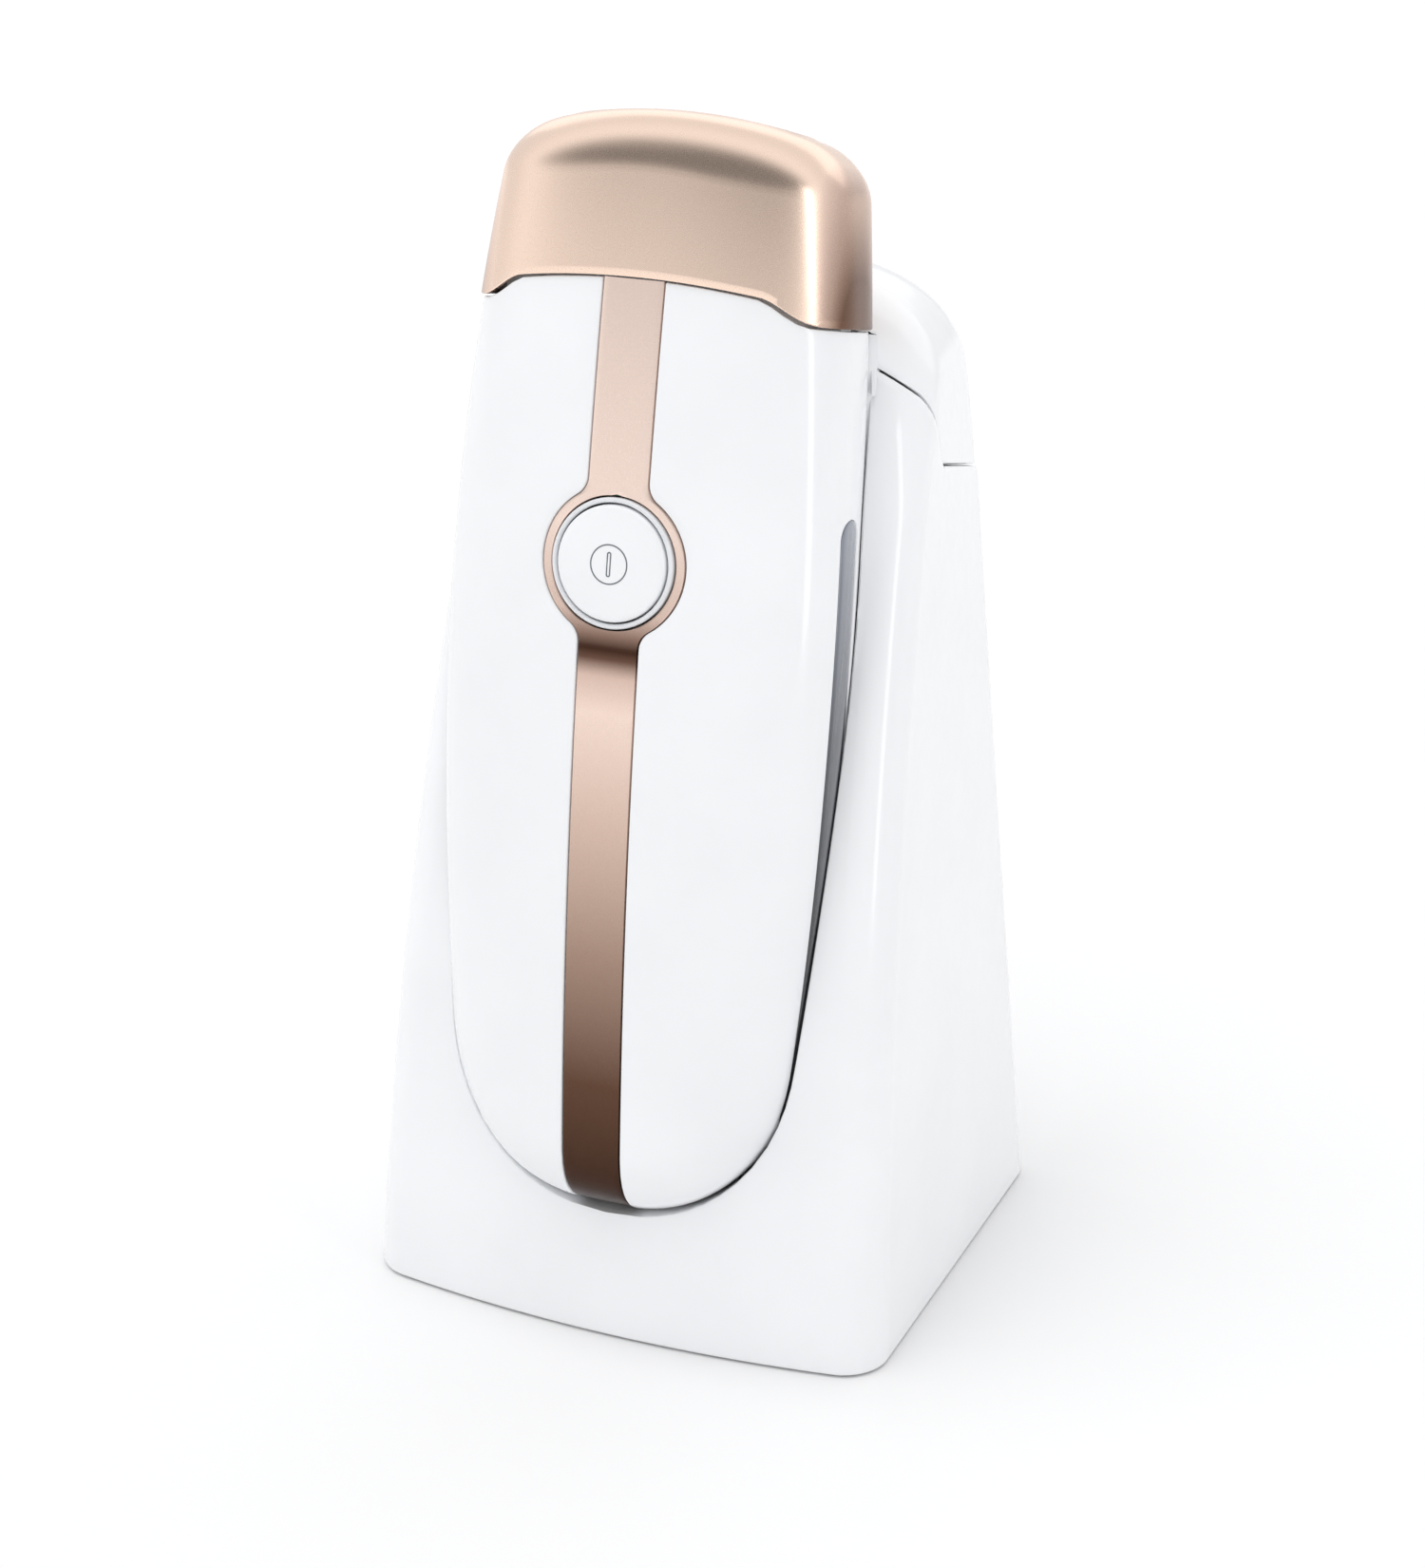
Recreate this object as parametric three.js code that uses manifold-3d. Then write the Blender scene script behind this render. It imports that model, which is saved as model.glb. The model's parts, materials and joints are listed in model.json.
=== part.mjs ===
// IPL hair remover: a cordless light-pulse handset with a pull-off cap, docked in a tapered charging stand.
// Millimetres, +Z up, front towards -Y. The origin is on the table, under the middle of the object's box.
import * as THREE from "three";
import { mergeVertices } from "three/addons/utils/BufferGeometryUtils.js";
import Module from "manifold-3d";

const wasm = await Module();
wasm.setup();

// ---------------------------------------------------------------- driving dimensions

const GAP = 0.3; // clearance left between pieces that touch

// The handset is curved along its length: its front line is an arc of BEND_R that is upright at BEND_Z.
const BEND_R = 880;
const BEND_Y = -57.2;
const BEND_Z = 5.7;

// Along the handset, s is the arc length from BEND_Z, and e is the depth behind the front line.
const S_TIP = 20.5; // lower end
const S_TOP = 225.8; // upper end of the cap
const S_OPEN = 290; // an upper end so far off that it rounds nothing
const S_CAP_MIDDLE = 196; // the cap's lower edge at the middle
const S_CAP_SIDE = 190.4; // and at the sides, beyond a step
const CAP_LINE_R = 330; // twice the radius of the edge's droop on either side of the middle
const CAP_STEP = [22, 31]; // x where that step starts and ends
const S_BUTTON = 146.5;
const HALF_WIDTH = 37.9; // at S_WIDEST
const S_WIDEST = 127;
const FRONT_DEPTH = 18; // from the front line to the widest plane
const BACK_DEPTH = 20; // from the widest plane to the back
const TAIL_TAPER = 2.5; // how much thinner each half is at the lower end
const E_PARTING = 29; // the front and rear shells meet at this depth
const SHELL_WALL = 2.2;
const CAP_WALL = 1.6;
const CAP_PROUD = 0.6; // the cap stands this far outside the shells
const FRONT_POWER = 2.7; // superellipse exponent of the section's front half
const BACK_POWER = [2.6, 3.1]; // and of its back half, up to the button and at the cap

const STRIPE_HALF = 5.7;
const STRIPE_THICK = 1.2;
const STRIPE_SUNK = 0.02; // below the shell's surface
const STRIPE_END_E = 11; // it wraps round the lower end to this depth
const STRIPE_DISC_R = 13.6; // where the stripe widens round the button
const RING_R = 11.6;
const BUTTON_R = 10.4;
const BUTTON_TRAVEL = 0.8;
const WINDOW_E = [14, 21.4]; // the smoked side windows, in depth
const WINDOW_S = [42, 157]; // and along the handset
const WINDOW_THICK = 1.1;

// Stand: a bowed, tapered body. Its front leans back more and more towards the top.
const BASE_HALF_WIDTH = 53;
const BASE_HALF_DEPTH = 46.5;
const FRONT_BOW = 5.2;
const STAND_BOTTOM = 0.5;
const DOME_START = 172;
const DOME_HEIGHT = 22;
const STAND_WALL = 2.4;
const POCKET_GAP = 0.6;
const POCKET_WALL = 2.2;
const SPLIT_TILT = THREE.MathUtils.degToRad(14.6); // the top cover's lower edge rises towards the front
const SPLIT_LOW = 157.5;
const SPLIT_HIGH = 168;
const SPLIT_ARCH = 10;

const CENTRE_SHIFT = 4.984; // brings the middle of the whole object's box over the origin

const WHITE = { color: 0xf2f3f5, roughness: 0.18, metalness: 0 };
const ROSE = { color: 0xd9b09a, roughness: 0.32, metalness: 0.9 };
const SMOKE = { color: 0x14161a, roughness: 0.08, metalness: 0 };
const CLEAR = { color: 0xf4f8fa, roughness: 0.04, metalness: 0, transparent: true, opacity: 0.4 };
const LIGHT_GREY = { color: 0xc9ccd1, roughness: 0.4, metalness: 0 };
const DARK = { color: 0x26282c, roughness: 0.6, metalness: 0 };
const RUBBER = { color: 0x1c1c1e, roughness: 0.9, metalness: 0 };
const ALUMINIUM = { color: 0xc8cbd0, roughness: 0.3, metalness: 1 };
const STEEL = { color: 0x9a9da3, roughness: 0.35, metalness: 1 };
const GOLD = { color: 0xd8b25a, roughness: 0.25, metalness: 1 };
const BOARD = { color: 0x1f6b45, roughness: 0.55, metalness: 0 };
const WRAP_BLUE = { color: 0x2a5fa8, roughness: 0.45, metalness: 0 };

// ---------------------------------------------------------------- helpers

const group = new THREE.Group();

function node(name, shape, look) {
  const geometry = shape.isBufferGeometry ? shape : geometryOf(shape);
  const mesh = new THREE.Mesh(geometry, new THREE.MeshStandardMaterial(look));
  mesh.name = name;
  group.add(mesh);
  return mesh;
}

// A closed geometry as a solid that can be cut and joined.
function solid(geometry) {
  const bare = geometry.index ? geometry.clone() : geometry;
  bare.deleteAttribute("normal");
  bare.deleteAttribute("uv");
  const merged = mergeVertices(bare, 1e-4);
  return new wasm.Manifold(
    new wasm.Mesh({
      numProp: 3,
      vertProperties: new Float32Array(merged.attributes.position.array),
      triVerts: new Uint32Array(merged.index.array),
    }),
  );
}

function geometryOf(manifold) {
  const mesh = manifold.getMesh();
  const geometry = new THREE.BufferGeometry();
  geometry.setAttribute("position", new THREE.BufferAttribute(mesh.vertProperties.slice(), 3));
  geometry.setIndex(new THREE.BufferAttribute(mesh.triVerts.slice(), 1));
  geometry.computeVertexNormals();
  return geometry;
}

// A closed body through rings of points, each ring with the same number of points, with a fan at both ends.
function loft(rings) {
  const count = rings[0].length;
  const points = rings.flat();
  const faces = [];
  for (let i = 0; i + 1 < rings.length; i++)
    for (let k = 0; k < count; k++) {
      const a = i * count + k;
      const b = i * count + ((k + 1) % count);
      faces.push(a, b, b + count, a, b + count, a + count);
    }
  for (const [first, turned] of [[0, true], [(rings.length - 1) * count, false]]) {
    const middle = new THREE.Vector3();
    for (let k = 0; k < count; k++) middle.addScaledVector(points[first + k], 1 / count);
    const m = points.push(middle) - 1;
    for (let k = 0; k < count; k++) {
      const a = first + k;
      const b = first + ((k + 1) % count);
      faces.push(...(turned ? [m, b, a] : [m, a, b]));
    }
  }
  let volume = 0;
  for (let i = 0; i < faces.length; i += 3) {
    const [a, b, c] = [points[faces[i]], points[faces[i + 1]], points[faces[i + 2]]];
    volume += a.dot(b.clone().cross(c));
  }
  if (volume < 0) faces.reverse();
  const geometry = new THREE.BufferGeometry().setFromPoints(points);
  geometry.setIndex(faces);
  return geometry;
}

const range = (from, to, steps) => Array.from({ length: steps + 1 }, (_, i) => from + ((to - from) * i) / steps);
const clamp = (t) => Math.min(1, Math.max(0, t));
const smooth = (t) => clamp(t) ** 2 * (3 - 2 * clamp(t));
const power = (v, p) => Math.sign(v) * Math.abs(v) ** p;

// How full a section is at distance d from a rounded end of length L: 0 at the end and 1 from L on.
const fullness = (d, L, q) => (d >= L ? 1 : (1 - (1 - Math.max(0, d) / L) ** q) ** (1 / q));

// The point at x, arc length s and depth e of the curved handset.
function bent(x, s, e) {
  const angle = s / BEND_R;
  return new THREE.Vector3(
    x,
    BEND_Y + BEND_R - (BEND_R - e) * Math.cos(angle),
    BEND_Z + (BEND_R - e) * Math.sin(angle),
  );
}

// Moves a geometry modelled at the origin (its x along x, y along s and z along -e) to a place on the handset.
function placed(geometry, x, s, e) {
  const at = bent(x, s, e);
  const turn = new THREE.Matrix4().makeRotationX(Math.PI / 2 - s / BEND_R);
  return geometry.applyMatrix4(turn).translate(at.x, at.y, at.z);
}

const box = (x, y, z) => new THREE.BoxGeometry(x, y, z);

// A cylinder whose axis runs along x, y or z.
function rod(radius, length, axis = "z", sides = 20) {
  const geometry = new THREE.CylinderGeometry(radius, radius, length, sides);
  if (axis === "z") geometry.rotateX(Math.PI / 2);
  if (axis === "x") geometry.rotateZ(Math.PI / 2);
  return geometry;
}

// A pan-head screw along z: its head from z = 0 down to -headHeight, its shank from 0 up.
function screw(headRadius, headHeight, shankRadius, length) {
  const profile = [[0, -headHeight], [headRadius, -headHeight], [headRadius, 0], [shankRadius, 0]];
  const points = [...profile, [shankRadius, length], [0, length]].map(([r, h]) => new THREE.Vector2(r, h));
  return new THREE.LatheGeometry(points, 12).rotateX(Math.PI / 2);
}

// ---------------------------------------------------------------- the handset's outer form

const tail = (s) => clamp((100 - s) / 75) ** 2 * TAIL_TAPER;
const widestDepth = (s) => FRONT_DEPTH - tail(s);
const outlineWidth = (s) => HALF_WIDTH - (s > S_WIDEST ? 2.2 : 1.75) * ((s - S_WIDEST) / 53) ** 2;
const backPower = (s) => BACK_POWER[0] + (BACK_POWER[1] - BACK_POWER[0]) * smooth((s - 150) / 40);

// A section of the handset, grown outwards by grow. Both ends close over rounded lengths.
function sectionSize(s, grow, top = S_TOP) {
  const fromTip = s - S_TIP + grow;
  const fromTop = top - s + grow;
  return {
    width: (outlineWidth(s) + grow) * fullness(fromTip, 34, 2.3) * fullness(fromTop, 15, 2.35),
    front: (widestDepth(s) + grow) * fullness(fromTip, 16, 2.3) * fullness(fromTop, 11, 2.3),
    back: (BACK_DEPTH - 2 * tail(s) + grow) * fullness(fromTip, 26, 2.2) * fullness(fromTop, 11, 2.3),
  };
}

const SIDES = 24;

function handsetRing(s, grow, top) {
  const size = sectionSize(s, grow, top);
  return range(0, 2 * Math.PI, SIDES).slice(0, SIDES).map((angle) => {
    const isFront = Math.sin(angle) > 0;
    const p = isFront ? FRONT_POWER : backPower(s);
    const depth = isFront ? size.front : size.back;
    return bent(
      size.width * power(Math.cos(angle), 2 / p),
      s,
      widestDepth(s) - depth * power(Math.sin(angle), 2 / p),
    );
  });
}

const tipStations = (grow) => [0.05, 0.6, 2, 5, 9, 14, 20, 28].map((d) => S_TIP - grow + d);

const handsetSolid = (grow, end) =>
  solid(loft([...tipStations(grow), ...range(60, end, 8)].map((s) => handsetRing(s, grow, S_OPEN))));

// The closed form of the cap, which the handset's section continues into.
function capSolid(grow) {
  const fromTop = [13, 9, 6, 3.5, 1.6, 0.6, 0.1];
  const stations = [180, 195, 205, ...fromTop.map((d) => S_TOP + grow - d)];
  return solid(loft(stations.map((s) => handsetRing(s, grow))));
}

// A block in the handset's curved frame, from low to high x, s and e.
function bentBlock([x0, x1], [s0, s1], [e0, e1], steps = 1) {
  const corner = (s) => [bent(x0, s, e0), bent(x1, s, e0), bent(x1, s, e1), bent(x0, s, e1)];
  return solid(loft(range(s0, s1, steps).map(corner)));
}

// Everything above the cap's lower edge, moved along the handset by shift.
function aboveCapLine(shift) {
  const line = range(-36, 36, 24).map((x) => {
    const step = smooth((CAP_STEP[1] - Math.abs(x)) / (CAP_STEP[1] - CAP_STEP[0]));
    return [x, S_CAP_SIDE + (S_CAP_MIDDLE - x ** 2 / CAP_LINE_R - S_CAP_SIDE) * step + shift];
  });
  const edge = [[-60, S_CAP_SIDE + shift], ...line, [60, S_CAP_SIDE + shift], [60, 290], [-60, 290]];
  return solid(loft([-25, 75].map((e) => edge.map(([x, s]) => bent(x, s, e)))));
}

// The stripe's half width: straight, and swelling into a disc round the button with soft necks.
function stripeHalf(s) {
  const d = Math.abs(s - S_BUTTON);
  const disc = d < STRIPE_DISC_R ? Math.sqrt(STRIPE_DISC_R ** 2 - d ** 2) : 0;
  const neck = STRIPE_HALF + 2.6 * clamp((17 - d) / 5) ** 2;
  return Math.max(STRIPE_HALF, disc, d < 17 ? Math.min(neck, STRIPE_DISC_R) : 0);
}

// A bar with the stripe's outline, which runs right through the front and round under the lower end.
function stripeBar(grow) {
  const stations = [0, ...range(125, 168, 22), 213];
  const rings = stations.map((s) => {
    const half = stripeHalf(s) + grow;
    const back = STRIPE_END_E + grow;
    return [bent(-half, s, -25), bent(half, s, -25), bent(half, s, back), bent(-half, s, back)];
  });
  return solid(loft(rings));
}

// A side window: a rounded bar that follows the handset's flank.
function sideWindow(side, grow, outer, inner) {
  const half = (WINDOW_E[1] - WINDOW_E[0]) / 2 + grow;
  const middle = (WINDOW_E[0] + WINDOW_E[1]) / 2;
  const [low, high] = [WINDOW_S[0] - grow, WINDOW_S[1] + grow];
  const ends = [0.1, 0.8, 2, half];
  const stations = [...ends.map((d) => low + d), ...range(60, 145, 6), ...ends.reverse().map((d) => high - d)];
  const rings = stations.map((s) => {
    const d = Math.min(s - low, high - s, half);
    const reach = Math.sqrt(half ** 2 - (half - d) ** 2);
    const flank = sectionSize(s, 0, S_OPEN).width;
    const centre = middle - tail(s);
    return [
      bent(side * (flank + outer), s, centre - reach),
      bent(side * (flank + outer), s, centre + reach),
      bent(side * (flank - inner), s, centre + reach),
      bent(side * (flank - inner), s, centre - reach),
    ];
  });
  return solid(loft(rings));
}

// ---------------------------------------------------------------- handset shells

const HANDSET_SCREWS = [[-15, 43], [15, 43], [-27.5, 166], [27.5, 166]]; // x and s
const SEAT_E = [E_PARTING + GAP, E_PARTING + 1.3]; // the rear shell's seats under the screw heads
const PAD_X = 6;

function handsetShells() {
  const body = handsetSolid(0, 205).subtract(aboveCapLine(-GAP));
  const hollow = handsetSolid(-SHELL_WALL, 212);
  const ringHole = solid(placed(rod(RING_R + GAP, 12, "z", 32), 0, S_BUTTON, 1));
  const shell = body.subtract(hollow);
  const frontHalf = bentBlock([-60, 60], [0, 230], [-20, E_PARTING], 8);
  const rearHalf = bentBlock([-60, 60], [0, 230], [E_PARTING + GAP, 60], 8);

  let front = shell.intersect(frontHalf);
  for (const [x, s] of HANDSET_SCREWS) {
    const boss = solid(placed(rod(3.2, E_PARTING - 2.5, "z", 12), x, s, (E_PARTING + 1.5) / 2));
    front = front.add(boss.intersect(body));
  }
  for (const [x, s] of HANDSET_SCREWS)
    front = front.subtract(solid(placed(rod(1.5, 14, "z", 10), x, s, E_PARTING - 3)));
  front = front.subtract(stripeBar(0.15).subtract(handsetSolid(-STRIPE_THICK - GAP, 212)));
  front = front.subtract(ringHole);
  for (const side of [-1, 1]) {
    front = front.subtract(sideWindow(side, 0.2, 2, WINDOW_THICK + GAP));
    front = front.subtract(solid(placed(rod(2.5, 8, "y", 16), side * PAD_X, S_TIP + 2, widestDepth(S_TIP))));
  }
  node("front_shell", front, WHITE);

  let rear = shell.intersect(rearHalf);
  for (const [x, s] of HANDSET_SCREWS) {
    const seat = solid(placed(rod(4.2, SEAT_E[1] - SEAT_E[0] + 1, "z", 12), x, s, (SEAT_E[0] + SEAT_E[1] + 1) / 2));
    rear = rear.add(seat.intersect(body));
    rear = rear.subtract(solid(placed(rod(1.5, 8, "z", 10), x, s, SEAT_E[0] + 2)));
    rear = rear.subtract(solid(placed(rod(3.0, 12, "z", 12), x, s, SEAT_E[1] + 6)));
  }
  for (const row of range(114, 138, 6))
    rear = rear.subtract(bentBlock([6, 28], [row - 0.8, row + 0.8], [30, 50]));
  node("rear_shell", rear, WHITE);

  const stripeSkin = handsetSolid(-STRIPE_SUNK, 205).subtract(handsetSolid(-STRIPE_THICK, 212));
  node("accent_stripe", stripeSkin.intersect(stripeBar(0)).subtract(aboveCapLine(-GAP)).subtract(ringHole), ROSE);
  for (const [side, name] of [[-1, "left"], [1, "right"]])
    node(`side_window_${name}`, sideWindow(side, 0, 0.1, WINDOW_THICK).intersect(handsetSolid(0.1, 205)), SMOKE);
}

function handsetFasteners() {
  HANDSET_SCREWS.forEach(([x, s], i) => {
    node(`handset_screw_${i + 1}`, placed(screw(2.5, 1, 1.2, 11), x, s, SEAT_E[1] + 0.2), STEEL);
  });
}

// ---------------------------------------------------------------- button

// A ring on the handset's front from radius a to b and from depth e0 to e1.
function frontRing(a, b, e0, e1) {
  const outer = solid(placed(rod(b, e1 - e0, "z", 32), 0, S_BUTTON, (e0 + e1) / 2));
  return outer.subtract(solid(placed(rod(a, e1 - e0 + 4, "z", 32), 0, S_BUTTON, (e0 + e1) / 2)));
}

function button() {
  node("button_ring", frontRing(BUTTON_R + GAP, RING_R, -0.4, 4), CLEAR);
  const dome = new THREE.LatheGeometry(
    [[0, -1.6], [BUTTON_R - 1.2, -1.6], [BUTTON_R, -1.2], [BUTTON_R, 0.6], [BUTTON_R - 1.2, 1.0], [6, 1.5], [0, 1.7]]
      .map(([r, h]) => new THREE.Vector2(r, h)),
    32,
  ).rotateX(Math.PI / 2);
  const stem = solid(placed(rod(2, 2, "z", 16), 0, S_BUTTON, 2.2));
  node("power_button", solid(placed(dome, 0, S_BUTTON, 0.2)).add(stem), WHITE);
  const bodyBlock = solid(placed(box(6.2, 6.2, 3), 0, S_BUTTON, 6.3));
  const plunger = solid(placed(rod(1.6, 2, "z", 12), 0, S_BUTTON, 3.4 + BUTTON_TRAVEL + GAP + 1));
  node("button_switch", bodyBlock.add(plunger), DARK);
}

// ---------------------------------------------------------------- treatment head, under the cap

const HEAD_E = widestDepth(200); // the head's middle, in depth
const HEAD_TOP = 214.5;
const HEAD_BASE = 202; // the collar's top, which the head stands on
const HEAD_HALF = [21.5, 11.5]; // half its size, across and in depth

// A rounded rectangle round the head's axis, between two arc lengths.
function headBlock(halfX, halfE, s0, s1, sides = 24) {
  const ring = (s) => range(0, 2 * Math.PI, sides).slice(0, sides).map((angle) =>
    bent(halfX * power(Math.cos(angle), 0.4), s, HEAD_E + halfE * power(Math.sin(angle), 0.4)));
  return solid(loft([s0, s1].map(ring)));
}

const SENSORS = [[-19, -6], [19, -6], [-19, 6], [19, 6]]; // x and depth from the head's middle

function treatmentHead() {
  const plug = (grow, stations) => solid(loft(stations.map((s) => handsetRing(s, grow, S_OPEN))));
  const well = headBlock(18.2, 9.7, 176, 220);
  const neck = plug(-SHELL_WALL - 0.7, [180, 191, HEAD_BASE]).subtract(plug(-SHELL_WALL - 2.7, [178, 191, 199.6]));
  node("head_collar", neck.subtract(well), WHITE);
  node("head_housing", headBlock(...HEAD_HALF, HEAD_BASE + GAP, HEAD_TOP - 3).subtract(well), WHITE);

  let frame = headBlock(...HEAD_HALF, HEAD_TOP - 3 + GAP, HEAD_TOP).subtract(headBlock(16.5, 8, 207, 219));
  for (const [x, e] of SENSORS)
    frame = frame.subtract(solid(placed(rod(1.8, 8, "y", 12), x, HEAD_TOP, HEAD_E + e)));
  node("treatment_frame", frame, LIGHT_GREY);
  SENSORS.forEach(([x, e], i) =>
    node(`skin_sensor_${i + 1}`, solid(placed(rod(1.5, 3, "y", 16), x, HEAD_TOP - 0.9, HEAD_E + e)), GOLD));

  node("filter_glass", headBlock(17.7, 9.2, 208.6, 210.6), CLEAR);
  const outer = headBlock(17.7, 9.2, 197, 208.2, 20);
  const trough = headBlock(15.5, 7.6, 199, 211, 20);
  node("reflector", outer.subtract(trough), ALUMINIUM);
  node("flash_lamp", solid(placed(rod(3, 28, "x", 16), 0, 203.2, HEAD_E)), CLEAR);
}

function cap() {
  const shell = capSolid(CAP_PROUD).subtract(capSolid(CAP_PROUD - CAP_WALL)).intersect(aboveCapLine(0));
  node("protective_cap", shell, ROSE);
}

// ---------------------------------------------------------------- inside the handset

const FAN = { x: 14, s: 130, e: 27, size: 25, blades: 7 };

function internals() {
  for (const [side, name] of [[-1, "left"], [1, "right"]]) {
    node(`battery_cell_${name}`, placed(rod(9.1, 62, "y", 20), side * 9.8, 81, 22), WRAP_BLUE);
    node(`charge_pad_${name}`, placed(rod(2.2, 2.2, "y", 16), side * PAD_X, S_TIP + 1.5, widestDepth(S_TIP)), GOLD);
  }
  node("main_capacitor", placed(rod(11, 42, "y", 20), -15.5, 139, 22.6), DARK);
  node("power_board", placed(box(40, 56, 1.6), 0, 77, 10.5), BOARD);
  node("control_board", placed(box(46, 50, 1.6), 0, 146, 8.9), BOARD);

  const onFan = (geometry, e) => solid(placed(geometry, FAN.x, FAN.s, e));
  const frame = onFan(box(FAN.size, FAN.size, 8), FAN.e);
  const bore = onFan(rod(FAN.size / 2 - 1.2, 20, "z", 24), FAN.e);
  const bridge = onFan(box(FAN.size, 3, 1.2), FAN.e + 3.4);
  node("fan_frame", frame.subtract(bore).add(bridge), DARK);
  let rotor = onFan(rod(4.4, 5.4, "z", 14), FAN.e - 0.6);
  for (const turn of range(0, 2 * Math.PI, FAN.blades).slice(0, FAN.blades)) {
    const blade = box(7.4, 1, 4.4).rotateX(0.5).translate(6.7, 0, 0).rotateZ(turn);
    rotor = rotor.add(onFan(blade, FAN.e - 0.6));
  }
  node("fan_rotor", rotor, DARK);

  let sink = solid(placed(box(34, 4, 16), 0, 193.5, HEAD_E));
  for (const x of range(-15, 15, 5))
    sink = sink.add(solid(placed(box(1.6, 12, 15), x, 186.5, HEAD_E)));
  node("heat_sink", sink, ALUMINIUM);
}

// ---------------------------------------------------------------- the stand's outer form

const frontLine = (z) => -BASE_HALF_DEPTH + 0.0485 * z + 0.00095 * z * z;
const backLine = (z) => BASE_HALF_DEPTH - 0.05 * z;
const frontHalf = (z) => BASE_HALF_WIDTH - 0.046 * z;
const backHalf = (z) => BASE_HALF_WIDTH - 0.087 * z;

// The stand's outline at height z, drawn inwards by inset. Above DOME_START it closes into a rounded top.
function standRing(z, inset) {
  const rise = clamp((z - DOME_START + (z > DOME_START ? inset : 0)) / DOME_HEIGHT);
  const across = (1 - rise ** 2.6) ** (1 / 2.6);
  const deep = (1 - rise ** 3.4) ** (1 / 3.4);
  const [wf, wb] = [frontHalf(z) - inset, backHalf(z) - inset];
  const [yf, yb] = [frontLine(z) + inset, backLine(z) - inset];
  const [rf, rb] = [8, 6].map((r) => Math.max(2, r - inset) + 4 * clamp((z - 150) / 20));
  const side = [];
  for (const x of range(0, wf - rf, 3).slice(0, 3)) side.push([x, yf - FRONT_BOW * (1 - (x / wf) ** 2)]);
  const start = yf - FRONT_BOW * (1 - ((wf - rf) / wf) ** 2);
  for (const a of range(0, Math.PI / 2, 4))
    side.push([wf - rf * (1 - Math.sin(a)), yf + rf - (yf + rf - start) * Math.cos(a)]);
  for (const a of range(0, Math.PI / 2, 3))
    side.push([wb - rb * (1 - Math.cos(a)), yb - rb * (1 - Math.sin(a))]);
  const middle = (yf + yb) / 2 + 6 * rise;
  const outline = [...side, [0, yb], ...side.slice(1).reverse().map(([x, y]) => [-x, y])];
  return outline.map(([x, y]) => new THREE.Vector3(x * across, middle + (y - middle) * deep, z));
}

const standSolid = (inset, bottom) => {
  const dome = [178, 184, 188.5, 191.5, 193.3, 193.9].map((z) => z - inset);
  return solid(loft([bottom, ...range(15, 165, 6), DOME_START, ...dome].map((z) => standRing(z, inset))));
};

// The pocket that holds the handset: its back half, with straight walls in front of the widest plane.
function pocketSolid(grow) {
  const ring = (s) => {
    const size = sectionSize(s, grow + 0.8 * smooth((s - 150) / 40), S_OPEN);
    const [widest, p] = [widestDepth(s), 2 / backPower(s)];
    const back = range(0, Math.PI, 14).map((a) =>
      bent(size.width * power(Math.cos(a), p), s, widest + size.back * power(Math.sin(a), p)));
    return [...back, bent(-size.width, s, -30), bent(size.width, s, -30)];
  };
  return solid(loft([...tipStations(grow), ...range(60, 240, 10)].map(ring)));
}

// Everything under the line where the top cover starts, which steps up towards the front and arches there.
function underSplit(lift) {
  const level = (v, y) => (v + lift - y * Math.sin(SPLIT_TILT)) / Math.cos(SPLIT_TILT);
  const profile = (x) => {
    const step = (Math.abs(x) > 35 ? 2 : 20) + lift;
    const high = SPLIT_HIGH + SPLIT_ARCH * (1 - clamp(Math.abs(x) / 44) ** 3);
    const curve = range(5, -5, 6).map((d) => {
      const v = SPLIT_LOW + (high - SPLIT_LOW) * smooth((5 - d) / 10);
      return [step + d, level(v, step + d)];
    });
    const edge = [[90, -20], [90, level(SPLIT_LOW, 90)], ...curve, [-90, level(high, -90)], [-90, -20]];
    return edge.map(([y, z]) => new THREE.Vector3(x, y, z));
  };
  return solid(loft([-70, -44, -40, -36, -34, -20, 0, 20, 34, 36, 40, 44, 70].map(profile)));
}

// ---------------------------------------------------------------- stand

const FEET = [[-40, -34], [40, -34], [-40, 35], [40, 35]];
const BASE_SCREWS = [[-46, -14], [46, -14], [-46, 20], [46, 20]];
const INLET_Z = 13;
const PLATE_Z = [2.2, 4.6];
const tip = bent(0, S_TIP, widestDepth(S_TIP)); // the handset's lowest point, where it charges
const BLOCK_Z = [8, tip.z - POCKET_GAP - POCKET_WALL - 0.6];

function standShells() {
  const outer = standSolid(0, STAND_BOTTOM);
  const pocketLiner = pocketSolid(POCKET_GAP + POCKET_WALL);
  const cavity = standSolid(STAND_WALL, -5).subtract(pocketLiner);
  const shell = outer.subtract(cavity).subtract(pocketSolid(POCKET_GAP));

  let body = shell.intersect(underSplit(0));
  for (const [x, y] of BASE_SCREWS) {
    body = body.add(solid(rod(4.6, 14, "z", 12).translate(x, y, PLATE_Z[1] + GAP + 7)));
    body = body.subtract(solid(rod(1.5, 12, "z", 10).translate(x, y, 10)));
  }
  body = body.subtract(solid(rod(6, 16, "y", 24).translate(0, backLine(INLET_Z), INLET_Z)));
  for (const side of [-1, 1])
    body = body.subtract(solid(rod(1.5, 10, "z", 12).translate(side * PAD_X, tip.y, 24)));
  node("stand_body", body, WHITE);
  node("stand_top_cover", shell.subtract(underSplit(0.35)), WHITE);
}

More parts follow.
